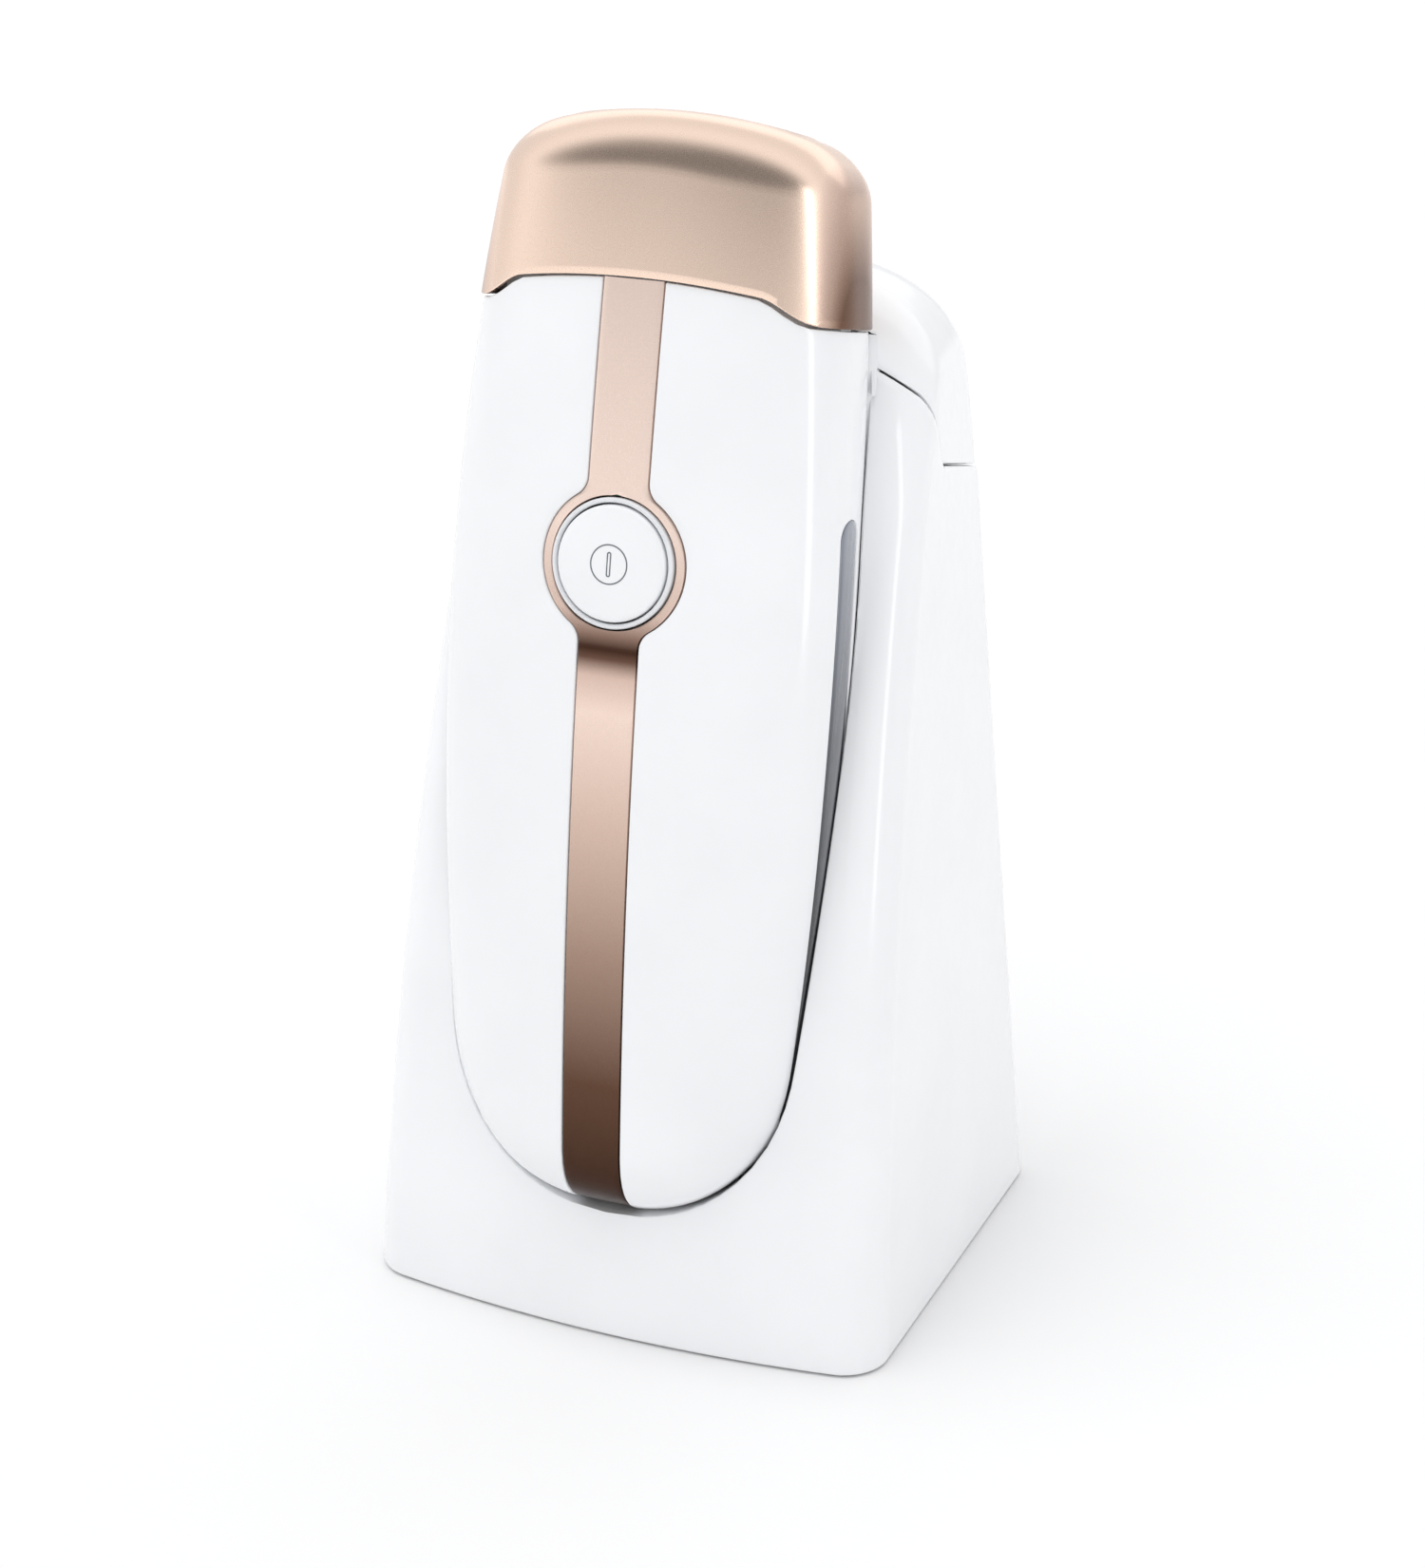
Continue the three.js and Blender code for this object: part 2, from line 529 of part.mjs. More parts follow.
function standBase() {
  const ring = (z) => standRing(z, STAND_WALL + 0.4);
  let plate = solid(loft(PLATE_Z.map(ring)));
  for (const [x, y] of BASE_SCREWS) {
    plate = plate.subtract(solid(rod(1.6, 12, "z", 10).translate(x, y, 3)));
    plate = plate.subtract(solid(rod(3.2, 2, "z", 12).translate(x, y, 2.4)));
  }
  node("base_plate", plate, LIGHT_GREY);
  BASE_SCREWS.forEach(([x, y], i) => {
    node(`base_screw_${i + 1}`, screw(2.8, 1, 1.2, 9).translate(x, y, 3.2), STEEL);
  });
  FEET.forEach(([x, y], i) => {
    const foot = new THREE.CylinderGeometry(6.5, 5.8, PLATE_Z[0] - GAP, 24).rotateX(Math.PI / 2);
    node(`foot_${i + 1}`, foot.translate(x, y, (PLATE_Z[0] - GAP) / 2), RUBBER);
  });
}

function dockContacts() {
  let block = solid(box(24, 10, BLOCK_Z[1] - BLOCK_Z[0]).translate(0, tip.y, (BLOCK_Z[0] + BLOCK_Z[1]) / 2));
  for (const [side, name] of [[-1, "left"], [1, "right"]]) {
    block = block.subtract(solid(rod(1.4, 16, "z", 12).translate(side * PAD_X, tip.y, 11 + 8)));
    const length = 12;
    const top = tip.z + 0.1;
    node(`contact_pin_${name}`, rod(1.1, length, "z", 16).translate(side * PAD_X, tip.y, top - length / 2), GOLD);
  }
  node("contact_block", block, DARK);
}

function inlet() {
  const back = backLine(INLET_Z) - 5.4;
  const can = solid(box(14, 12, 11).translate(0, back - 6, INLET_Z));
  const bore = solid(rod(3.1, 10, "y", 20).translate(0, back - 1, INLET_Z));
  const pin = solid(rod(0.9, 8, "y", 10).translate(0, back - 5, INLET_Z));
  node("inlet_socket", can.subtract(bore).add(pin), DARK);

  const route = [[0, back - 13, 12], [0, back - 17, 12], [9, 6, 8.5], [9, -12, 8.5], [0, tip.y + 10, 12],
    [0, tip.y + 6, 12]];
  const curve = new THREE.CatmullRomCurve3(route.map((p) => new THREE.Vector3(...p)));
  const section = new THREE.Shape(range(0, 2 * Math.PI, 8).slice(0, 8).map((a) =>
    new THREE.Vector2(1.6 * Math.cos(a), 1.6 * Math.sin(a))));
  node("dock_lead", new THREE.ExtrudeGeometry(section, { steps: 24, extrudePath: curve }), DARK);
}

handsetShells();
handsetFasteners();
button();
treatmentHead();
cap();
internals();
standShells();
standBase();
dockContacts();
inlet();

group.position.y = CENTRE_SHIFT;

export default group;
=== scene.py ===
"""The looks of the ipl hair remover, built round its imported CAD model.

Shapes are worked out in millimetres, in the CAD's own coordinates, and become metres as each mesh is made.
"""

import json
import math

import bmesh
import bpy
import numpy as np
from mathutils import Matrix, Vector


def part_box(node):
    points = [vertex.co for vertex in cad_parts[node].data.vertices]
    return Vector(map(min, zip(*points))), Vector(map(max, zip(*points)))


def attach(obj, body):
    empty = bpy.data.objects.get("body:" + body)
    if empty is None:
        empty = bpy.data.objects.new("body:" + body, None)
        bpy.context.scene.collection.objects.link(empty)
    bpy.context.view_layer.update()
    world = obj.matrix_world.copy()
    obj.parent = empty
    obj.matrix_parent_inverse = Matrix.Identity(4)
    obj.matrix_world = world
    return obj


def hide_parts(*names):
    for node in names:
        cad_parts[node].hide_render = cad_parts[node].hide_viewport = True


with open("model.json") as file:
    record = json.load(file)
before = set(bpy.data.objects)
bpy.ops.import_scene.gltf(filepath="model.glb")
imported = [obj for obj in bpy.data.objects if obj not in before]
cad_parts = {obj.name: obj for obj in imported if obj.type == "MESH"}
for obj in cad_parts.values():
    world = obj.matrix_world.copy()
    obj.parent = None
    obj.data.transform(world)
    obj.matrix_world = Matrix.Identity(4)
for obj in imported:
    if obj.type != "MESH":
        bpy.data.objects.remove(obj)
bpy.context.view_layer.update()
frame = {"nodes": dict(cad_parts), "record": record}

MM = 0.001

# ------------------------------------------------------------------ the handset's form (as in the CAD)

CENTRE_SHIFT = 4.984  # the CAD moves everything this far back, to centre its box over the origin
BEND_R, BEND_Y, BEND_Z = 880.0, -57.2, 5.7
S_TIP, S_TOP = 20.5, 225.8
S_CAP_MIDDLE, S_CAP_SIDE = 196.0, 190.4
CAP_STEP, CAP_LINE_R = (22.0, 31.0), 330.0
S_BUTTON = 146.5
HALF_WIDTH, S_WIDEST = 37.9, 127.0
FRONT_DEPTH, BACK_DEPTH, TAIL_TAPER = 18.0, 20.0, 2.5
E_PARTING = 29.0
FRONT_POWER, BACK_POWER = 2.7, (2.6, 3.1)
CAP_PROUD, CAP_WALL = 0.6, 1.6
STRIPE_HALF, STRIPE_DISC_R = 5.7, 13.6
RING_R, BUTTON_R = 11.6, 10.4
WINDOW_E, WINDOW_S = (14.0, 21.4), (42.0, 157.0)
GAP = 0.3
FOLD = 1.9  # how far a casing's edge folds towards its inside
GROOVE_FLOOR = -1.35  # the height of the floor under the stripe and under the windows
FIT = 0.15  # how much wider than its inlay a groove is, on each side


def smooth(t):
    t = np.clip(t, 0, 1)
    return t * t * (3 - 2 * t)


def fullness(d, length, q):
    t = np.clip(1 - np.asarray(d, float) / length, 0, 1)
    return (1 - t**q) ** (1 / q)


def tail(s):
    return np.clip((100 - s) / 75, 0, 1) ** 2 * TAIL_TAPER


def widest_depth(s):
    return FRONT_DEPTH - tail(s)


def back_power(s):
    return BACK_POWER[0] + (BACK_POWER[1] - BACK_POWER[0]) * smooth((s - 150) / 40)


def section_size(s, grow=0.0):
    """Half width, front depth and back depth of the handset's section at arc length s, grown outwards."""
    d = s - S_TIP + grow
    taper = np.where(s > S_WIDEST, 2.2, 1.75)
    width = (HALF_WIDTH - taper * ((s - S_WIDEST) / 53) ** 2 + grow) * fullness(d, 34, 2.3)
    front = (widest_depth(s) + grow) * fullness(d, 16, 2.3)
    back = (BACK_DEPTH - 2 * tail(s) + grow) * fullness(d, 26, 2.2)
    return width, front, back


def bent(x, s, e):
    """Points at x, arc length s and depth e of the curved handset."""
    angle = s / BEND_R
    y = BEND_Y + BEND_R - (BEND_R - e) * np.cos(angle)
    z = BEND_Z + (BEND_R - e) * np.sin(angle)
    return np.stack(np.broadcast_arrays(x, y, z), -1)


def unbent(y, z):
    """The arc length and depth of points, from their y and z."""
    down, out = z - BEND_Z, BEND_Y + BEND_R - y
    return BEND_R * np.arctan2(down, out), BEND_R - np.hypot(down, out)


def half_section(s, grow=0.0, size=None):
    """The right half of a section, from the front centre round the flank to the back centre: x, depth, length."""
    width, front, back = size or section_size(s, grow)
    power = back_power(s)
    quarter = smooth(np.linspace(0, 1, 161)) * math.pi / 2
    c, n = np.cos(quarter), np.sin(quarter)
    x = np.concatenate([width * n ** (2 / FRONT_POWER), (width * c ** (2 / power))[1:]])
    e = widest_depth(s) + np.concatenate([-front * c ** (2 / FRONT_POWER), (back * n ** (2 / power))[1:]])
    run = np.concatenate([[0], np.cumsum(np.hypot(np.diff(x), np.diff(e)))])
    return x, e, run


# ------------------------------------------------------------------ meshes


def make_mesh(name, points, faces, sharp=38):
    """A smooth-shaded mesh object from points in millimetres. Points that coincide are joined."""
    mesh = bpy.data.meshes.new(name)
    shifted = np.asarray(points, float) + (0, CENTRE_SHIFT, 0)
    mesh.from_pydata((shifted * MM).tolist(), [], faces)
    work = bmesh.new()
    work.from_mesh(mesh)
    bmesh.ops.remove_doubles(work, verts=work.verts, dist=2e-6)
    bmesh.ops.dissolve_degenerate(work, edges=work.edges, dist=1e-6)
    bmesh.ops.recalc_face_normals(work, faces=work.faces)
    work.to_mesh(mesh)
    work.free()
    mesh.shade_smooth()
    mesh.set_sharp_from_angle(angle=math.radians(sharp))
    thing = bpy.data.objects.new(name, mesh)
    bpy.context.scene.collection.objects.link(thing)
    return thing


def grid_faces(rows, cols, closed=False, start=0):
    """Quads of a grid of points, row by row. closed joins the last column to the first."""
    faces = []
    for r in range(rows - 1):
        for c in range(cols if closed else cols - 1):
            a, b = start + r * cols + c, start + r * cols + (c + 1) % cols
            faces.append((a, b, b + cols, a + cols))
    return faces


def grid_mesh(name, points, closed=False, fill=(), sharp=38):
    """A mesh through a grid of points. fill names the rows, first (0) or last (-1), that get a face across."""
    rows, cols = points.shape[:2]
    faces = grid_faces(rows, cols, closed)
    for row in fill:
        first = (rows - 1) * cols if row else 0
        faces.append(tuple(range(first, first + cols)))
    return make_mesh(name, points.reshape(-1, 3), faces, sharp)


def normals_of(points, closed=False):
    """Unit normals of a grid of points, by differences."""
    if closed:
        along = np.roll(points, -1, 1) - np.roll(points, 1, 1)
    else:
        along = np.gradient(points, axis=1)
    n = np.cross(along, np.gradient(points, axis=0))
    return n / np.maximum(np.linalg.norm(n, axis=-1, keepdims=True), 1e-12)


def mirrored(points, keep_middle=False):
    """A half grid that starts at x = 0, made whole: its mirror image first, then itself."""
    other = points[:, ::-1] * (-1, 1, 1)
    return np.concatenate([other if keep_middle else other[:, :-1], points], 1)


def between(a, b, n):
    """n evenly spaced values strictly between a and b."""
    return list(np.linspace(a, b, n + 2)[1:-1])


def at_heights(points, level, wanted):
    """A grid resampled along its columns, so that its rows lie at the wanted levels (rows by columns)."""
    out = np.empty((wanted.shape[0], points.shape[1], points.shape[2]))
    for c in range(points.shape[1]):
        for k in range(points.shape[2]):
            out[:, c, k] = np.interp(wanted[:, c], level[:, c], points[:, c, k])
    return out


def lathe(name, profile, place, turns=96, sharp=30, close=False):
    """Turns a profile of (radius, height) about an axis, then moves it to its place."""
    angles = np.arange(turns) * 2 * math.pi / turns
    profile = np.array(profile, float)
    grid = np.stack(
        [
            profile[:, :1] * np.cos(angles),
            profile[:, :1] * np.sin(angles),
            np.repeat(profile[:, 1:], turns, 1),
        ],
        -1,
    )
    if close:
        grid = np.concatenate([grid, grid[:1]])
    points = grid.reshape(-1, 3) @ place[0].T + place[1]
    return make_mesh(name, points, grid_faces(len(grid), turns, True), sharp)


def rounded(points, radius, steps=5):
    """A polyline of (a, b) points whose inner corners are rounded."""
    points = [np.array(p, float) for p in points]
    out = [points[0]]
    for before, corner, after in zip(points, points[1:], points[2:]):
        reach = [min(radius, np.linalg.norm(q - corner) * 0.49) for q in (before, after)]
        start = corner + (before - corner) / np.linalg.norm(before - corner) * reach[0]
        end = corner + (after - corner) / np.linalg.norm(after - corner) * reach[1]
        for t in np.linspace(0, 1, steps):
            out.append((1 - t) ** 2 * start + 2 * t * (1 - t) * corner + t * t * end)
    return out + [points[-1]]


def on_handset(x, s, e):
    """The turn and the place of something modelled upright, whose +Z is to point out of the handset's front."""
    a = s / BEND_R
    turn = np.array([[1, 0, 0], [0, math.sin(a), -math.cos(a)], [0, math.cos(a), math.sin(a)]])
    return turn, bent(np.array(x), np.array(s), np.array(e))


def punch(thing, centre, radius, reach, depth, plane):
    """Cuts a round hole with a rounded edge into an upright wall that faces +Y. centre is x and z, reach is how far
    round it the old faces go, plane gives the wall's y at a height."""
    work = bmesh.new()
    work.from_mesh(thing.data)
    hit = []
    for face in work.faces:
        at = face.calc_center_median() / MM
        near = abs(at.x - centre[0]) < reach[0] and abs(at.z - centre[1]) < reach[1]
        if near and abs(at.y - CENTRE_SHIFT - plane(at.z)) < 1:
            hit.append(face)
    edges = {e for f in hit for e in f.edges}
    rim = [e for e in edges if not all(f in hit for f in e.link_faces)]
    corners = {v for e in rim for v in e.verts}

    def polar(v):
        return math.atan2(v.co.z / MM - centre[1], v.co.x / MM - centre[0])

    ring = sorted(corners, key=polar)
    bmesh.ops.delete(work, geom=hit, context="FACES")
    profile = [(2.2, 0), (0.45, 0), (0.2, -0.06), (0.05, -0.22), (0, -0.5), (0, -depth)]
    angles = [polar(v) for v in ring]
    for wider, inward in profile:
        made = []
        for a in angles:
            x = centre[0] + (radius + wider) * math.cos(a)
            z = centre[1] + (radius + wider) * math.sin(a)
            made.append(work.verts.new((x * MM, (plane(z) + inward + CENTRE_SHIFT) * MM, z * MM)))
        for i in range(len(ring)):
            j = (i + 1) % len(ring)
            face = work.faces.new((ring[i], ring[j], made[j], made[i]))
            face.smooth = True
        ring = made
    bmesh.ops.recalc_face_normals(work, faces=work.faces)
    work.to_mesh(thing.data)
    work.free()
    thing.data.set_sharp_from_angle(angle=math.radians(45))


# ------------------------------------------------------------------ materials


def srgb(r, g, b):
    """A linear colour from sRGB values of 0 to 255."""
    return tuple(v / 12.92 if v <= 0.04045 else ((v + 0.055) / 1.055) ** 2.4 for v in (r / 255, g / 255, b / 255))


ROSE_GOLD = srgb(240, 212, 196)


def fill_ramp(ramp, stops):
    """Sets a colour ramp's stops, the first at 0 and the last at 1."""
    elements = ramp.color_ramp.elements
    for place, color in stops[1:-1]:
        elements.new(place).color = (*color, 1)
    elements[0].color, elements[-1].color = ((*stops[i][1], 1) for i in (0, -1))


class Finish:
    """A Principled material, with helpers for its procedural detail."""

    def __init__(self, name, color, roughness, **sockets):
        self.material = bpy.data.materials.new(name)
        self.material.use_nodes = True
        self.tree = self.material.node_tree
        self.shader = self.tree.nodes["Principled BSDF"]
        self.shader.inputs["Base Color"].default_value = (*color, 1)
        self.shader.inputs["Roughness"].default_value = roughness
        for socket, value in sockets.items():
            self.shader.inputs[socket.replace("_", " ")].default_value = value

    def node(self, kind, **values):
        made = self.tree.nodes.new(kind)
        for key, value in values.items():
            if key in made.inputs:
                made.inputs[key].default_value = value
            else:
                setattr(made, key, value)
        return made

    def link(self, a, b):
        self.tree.links.new(a, b)

    def noise(self, scale, detail=2.0, stretch=(1, 1, 1)):
        """Noise in object space. scale is in features for each metre."""
        where = self.node("ShaderNodeTexCoord")
        mapping = self.node("ShaderNodeMapping", Scale=stretch)
        self.link(where.outputs["Object"], mapping.inputs["Vector"])
        made = self.node("ShaderNodeTexNoise", Scale=scale, Detail=detail)
        self.link(mapping.outputs["Vector"], made.inputs["Vector"])
        return made.outputs["Fac"]

    def spread(self, value, socket, low, high):
        """Lets a value of about 0.3 to 0.7 vary a socket from low to high."""
        made = self.node("ShaderNodeMapRange", clamp=True)
        for key, setting in {"From Min": 0.3, "From Max": 0.7, "To Min": low, "To Max": high}.items():
            made.inputs[key].default_value = setting
        self.link(value, made.inputs["Value"])
        self.link(made.outputs["Result"], self.shader.inputs[socket])

    def tint(self, value, dark, light):
        ramp = self.node("ShaderNodeValToRGB")
        ramp.color_ramp.elements[0].position = 0.3
        ramp.color_ramp.elements[1].position = 0.7
        ramp.color_ramp.elements[0].color = (*dark, 1)
        ramp.color_ramp.elements[1].color = (*light, 1)
        self.link(value, ramp.inputs["Fac"])
        self.link(ramp.outputs["Color"], self.shader.inputs["Base Color"])

    def by_place(self, shades, speckle=(0.97, 1.03), sideways=False):
        """Colours the surface by its height, or by how far it is to either side, from (mm, sRGB colour) pairs, with
        a fine speckle on top."""
        where = self.node("ShaderNodeTexCoord")
        split = self.node("ShaderNodeSeparateXYZ")
        self.link(where.outputs["Object"], split.inputs["Vector"])
        low, high = shades[0][0], shades[-1][0]
        share = self.node("ShaderNodeMapRange", clamp=True)
        share.inputs["From Min"].default_value = low * MM
        share.inputs["From Max"].default_value = high * MM
        if sideways:
            size = self.node("ShaderNodeMath", operation="ABSOLUTE")
            self.link(split.outputs["X"], size.inputs[0])
            self.link(size.outputs["Value"], share.inputs["Value"])
        else:
            self.link(split.outputs["Z"], share.inputs["Value"])
        ramp = self.node("ShaderNodeValToRGB")
        fill_ramp(ramp, [((at - low) / (high - low), srgb(*shade)) for at, shade in shades])
        self.link(share.outputs["Result"], ramp.inputs["Fac"])
        grain = self.node("ShaderNodeMapRange", clamp=True)
        for key, value in zip(("From Min", "From Max", "To Min", "To Max"), (0.3, 0.7, *speckle)):
            grain.inputs[key].default_value = value
        self.link(self.noise(9000, 1), grain.inputs["Value"])
        mix = self.node("ShaderNodeMix", data_type="RGBA", blend_type="MULTIPLY")
        mix.inputs["Factor"].default_value = 1
        colors = [socket for socket in mix.inputs if socket.type == "RGBA"]
        self.link(ramp.outputs["Color"], colors[0])
        self.link(grain.outputs["Result"], colors[1])
        self.link(next(o for o in mix.outputs if o.type == "RGBA"), self.shader.inputs["Base Color"])

    def bump(self, value, strength, distance):
        made = self.node("ShaderNodeBump", Strength=strength, Distance=distance)
        self.link(value, made.inputs["Height"])
        self.link(made.outputs["Normal"], self.shader.inputs["Normal"])


def white_plastic():
    made = Finish("white_plastic", srgb(240, 241, 243), 0.16, IOR=1.5, Coat_Weight=0.4, Coat_Roughness=0.04)
    made.tint(made.noise(35, 3), srgb(238, 239, 241), srgb(242, 243, 245))
    made.spread(made.noise(420, 3), "Roughness", 0.13, 0.2)
    made.bump(made.noise(260, 1), 0.01, 0.0002)
    return made.material


# Painted shade on the cap: its colour darkens towards its sides. mm from the middle, and the colour there.
CAP_PAINTED_SHADE = [
    (0, (255, 227, 208)),
    (29.5, (255, 227, 208)),
    (31.5, (226, 197, 181)),
    (33, (190, 162, 146)),
    (33.8, (152, 124, 108)),
    (34.4, (112, 84, 69)),
]


def rose_lacquer():
    made = Finish("rose_lacquer", ROSE_GOLD, 0.25, Metallic=1.0)
    # Paints shade onto the cap by how far it is to either side, darker towards its flanks.
    made.by_place(CAP_PAINTED_SHADE, speckle=(0.95, 1.04), sideways=True)
    made.spread(made.noise(6000, 1), "Roughness", 0.22, 0.3)
    made.bump(made.noise(9000, 1), 0.06, 0.00004)
    return made.material


# Colours that change with the height in mm. Painted reflection: the band is painted darker downwards, with a painted
# dark reflection in a bar under the button, and the smoked windows get a painted reflection that is paler at the top.
BAND_PAINTED_REFLECTION = [
    (22, (30, 20, 17)),
    (30, (56, 36, 28)),
    (55, (100, 73, 58)),
    (80, (168, 141, 125)),
    (105, (219, 192, 176)),
    (125, (250, 225, 211)),
    (131.5, (224, 196, 181)),
    (134.5, (112, 84, 71)),
    (136.5, (62, 38, 28)),
    (139, (150, 122, 108)),
    (143, (222, 196, 182)),
    (158, (253, 229, 216)),
]


# Painted reflection on the smoked windows: paler at the top, darker downwards.
WINDOW_PAINTED_REFLECTION = [(40, (14, 16, 19)), (85, (28, 31, 36)), (120, (64, 68, 77)), (160, (128, 133, 145))]


def band_lacquer():
    made = Finish("band_lacquer", ROSE_GOLD, 0.3, Metallic=1.0)
    # Paints reflection onto the band: darker downwards, with a dark bar under the button.
    made.by_place(BAND_PAINTED_REFLECTION, speckle=(0.95, 1.04))
    made.spread(made.noise(6000, 1), "Roughness", 0.27, 0.35)
    made.bump(made.noise(9000, 1), 0.06, 0.00004)
    return made.material


def smoked_plastic():
    made = Finish("smoked_plastic", srgb(40, 43, 50), 0.08, IOR=1.52, Coat_Weight=1.0, Coat_Roughness=0.02)
    # Paints the windows' reflection, paler at the top.
    made.by_place(WINDOW_PAINTED_REFLECTION)
    made.spread(made.noise(700, 3), "Roughness", 0.05, 0.12)
    return made.material


def clear_plastic():
    made = Finish("clear_plastic", srgb(244, 246, 249), 0.05, IOR=1.49, Transmission_Weight=0.15, Coat_Weight=1.0)
    made.spread(made.noise(500, 2), "Roughness", 0.03, 0.09)
    return made.material


def lamp_glass():
    made = Finish("lamp_glass", srgb(246, 250, 250), 0.02, IOR=1.46, Transmission_Weight=1.0)
    made.spread(made.noise(300, 2), "Roughness", 0.0, 0.04)
    return made.material


def moulded(name, dark, light, roughness):
    made = Finish(name, light, roughness, IOR=1.48)
    made.tint(made.noise(90, 3), dark, light)
    made.spread(made.noise(900, 3), "Roughness", roughness - 0.07, roughness + 0.07)
    made.bump(made.noise(2600, 2), 0.25, 0.00008)
    return made.material


def metal(name, dark, light, roughness, stretch=(1, 1, 1)):
    made = Finish(name, light, roughness, Metallic=1.0)
    made.tint(made.noise(500, 3, stretch), dark, light)
    made.spread(made.noise(1500, 3, stretch), "Roughness", roughness - 0.08, roughness + 0.1)
    made.bump(made.noise(3000, 2, stretch), 0.08, 0.00005)
    return made.material


WHITE = white_plastic()
ROSE = rose_lacquer()
BAND = band_lacquer()
SMOKE = smoked_plastic()
CLEAR = clear_plastic()
GLASS = lamp_glass()
GREY = moulded("grey_plastic", srgb(172, 176, 182), srgb(184, 188, 194), 0.42)
BLACK = moulded("black_plastic", srgb(30, 31, 34), srgb(42, 43, 47), 0.5)
RUBBER = moulded("rubber", srgb(26, 26, 28), srgb(38, 38, 40), 0.8)
ALUMINIUM = metal("aluminium", srgb(196, 198, 202), srgb(222, 224, 228), 0.25)
STEEL = metal("zinc_steel", srgb(160, 162, 166), srgb(190, 192, 196), 0.32)
GOLD = metal("gold_plate", srgb(208, 170, 92), srgb(232, 196, 118), 0.2)
BOARD = moulded("solder_mask", srgb(18, 84, 50), srgb(26, 104, 62), 0.4)
INK = moulded("mark_ink", srgb(96, 100, 106), srgb(108, 112, 118), 0.45)
SLEEVE = moulded("cell_sleeve", srgb(36, 84, 158), srgb(46, 98, 176), 0.3)

CAD_LOOKS = {
    "white_shell": WHITE,
    "rose_metallic": ROSE,
    "smoked_window": SMOKE,
    "clear_ring": CLEAR,
    "clear_glass": GLASS,
    "grey_plastic": GREY,
    "black_plastic": BLACK,
    "rubber_feet": RUBBER,
    "aluminium": ALUMINIUM,
    "steel_screw": STEEL,
    "gold_contact": GOLD,
    "circuit_board": BOARD,
    "cell_wrap": SLEEVE,
}


def finish_piece(thing, body, slot, *nodes, look=None):
    """Gives a piece its material, its body and the CAD nodes that it stands for."""
    thing.data.materials.clear()
    thing.data.materials.append(look or CAD_LOOKS[slot])
    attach(thing, body)
    if nodes:
        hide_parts(*nodes)
    return thing


def finish_cad_nodes():
    for part in frame["record"]["subparts"]:
        node = frame["nodes"][part["node"]]
        node.data.materials.clear()
        node.data.materials.append(CAD_LOOKS[part["material_slot"]])


# ------------------------------------------------------------------ camera, floor and light

CAMERA_AT = (220.66, -515.58, 312.64)  # in millimetres, before the shift
LOOKS_AT = (0.0, 0.0, 94.3)
ROLL = math.radians(0.32)
LENS, LONG_SIDE = 71.46, 36.0


def make_camera():
    data = bpy.data.cameras.new("camera")
    data.sensor_fit = "AUTO"
    data.sensor_width = LONG_SIDE
    data.lens = LENS
    data.clip_start, data.clip_end = 0.01, 50
    camera = bpy.data.objects.new("camera", data)
    bpy.context.scene.collection.objects.link(camera)
    at = (Vector(CAMERA_AT) + Vector((0, CENTRE_SHIFT, 0))) * MM
    target = (Vector(LOOKS_AT) + Vector((0, CENTRE_SHIFT, 0))) * MM
    turn = (target - at).to_track_quat("-Z", "Y").to_matrix().to_4x4()
    camera.matrix_world = Matrix.Translation(at) @ turn @ Matrix.Rotation(ROLL, 4, "Z")
    bpy.context.scene.camera = camera


def area_light(name, at, towards, size, power):
    data = bpy.data.lights.new(name, "AREA")
    data.shape = "RECTANGLE"
    data.size, data.size_y = size
    data.energy = power
    light = bpy.data.objects.new(name, data)
    light.location = at
    light.rotation_euler = (Vector(towards) - Vector(at)).to_track_quat("-Z", "Y").to_euler()
    bpy.context.scene.collection.objects.link(light)
    return light


# The studio's own glow, by the cosine of the angle to its dark patch, which lies high up at the front and is wide.
SKY = [(0.0, 0.84), (0.4, 0.88), (0.7, 1.06), (0.8, 1.0), (0.9, 0.45), (0.95, 0.22), (1.0, 0.22)]
SKY_STRENGTH = 0.96
SKY_TILT = math.radians(45)
SKY_WIDENING = 0.4  # squeezes the directions sideways, which widens the patch


def make_world():
    world = bpy.data.worlds.new("studio")
    world.use_nodes = True
    tree = world.node_tree
    where = tree.nodes.new("ShaderNodeTexCoord")
    squeeze = tree.nodes.new("ShaderNodeMapping")
    squeeze.inputs["Scale"].default_value = (SKY_WIDENING, 1, 1)
    unit = tree.nodes.new("ShaderNodeVectorMath")
    unit.operation = "NORMALIZE"
    along = tree.nodes.new("ShaderNodeVectorMath")
    along.operation = "DOT_PRODUCT"
    along.inputs[1].default_value = (0, -math.sin(SKY_TILT), math.cos(SKY_TILT))
    ramp = tree.nodes.new("ShaderNodeValToRGB")
    fill_ramp(ramp, [(place, (glow * 0.985, glow * 0.99, glow)) for place, glow in SKY])
    tree.links.new(where.outputs["Generated"], squeeze.inputs["Vector"])
    tree.links.new(squeeze.outputs["Vector"], unit.inputs[0])
    tree.links.new(unit.outputs["Vector"], along.inputs[0])
    tree.links.new(along.outputs["Value"], ramp.inputs["Fac"])
    tree.links.new(ramp.outputs["Color"], tree.nodes["Background"].inputs["Color"])
    tree.nodes["Background"].inputs["Strength"].default_value = SKY_STRENGTH
    bpy.context.scene.world = world
    bpy.context.scene.view_settings.view_transform = "Standard"


MIDDLE = (0, 0, 0.12)  # where the area lights point, in metres
AREA_LIGHTS = [  # name, place in metres, size in metres, power in watts
    ("strip", (1.15, -0.5, 0.3), (0.18, 1.1), 1.5),
    ("rear", (-0.3, 3.3, 2.2), (7.0, 2.4), 21.0),
]
SUN_FROM, SUN_STRENGTH, SUN_ANGLE = (-0.22, -0.5, 1), 1.5, math.radians(70)
FLOOR_SIZE, FLOOR_SHADE, FLOOR_ROUGHNESS = 30, 0.87, 0.9


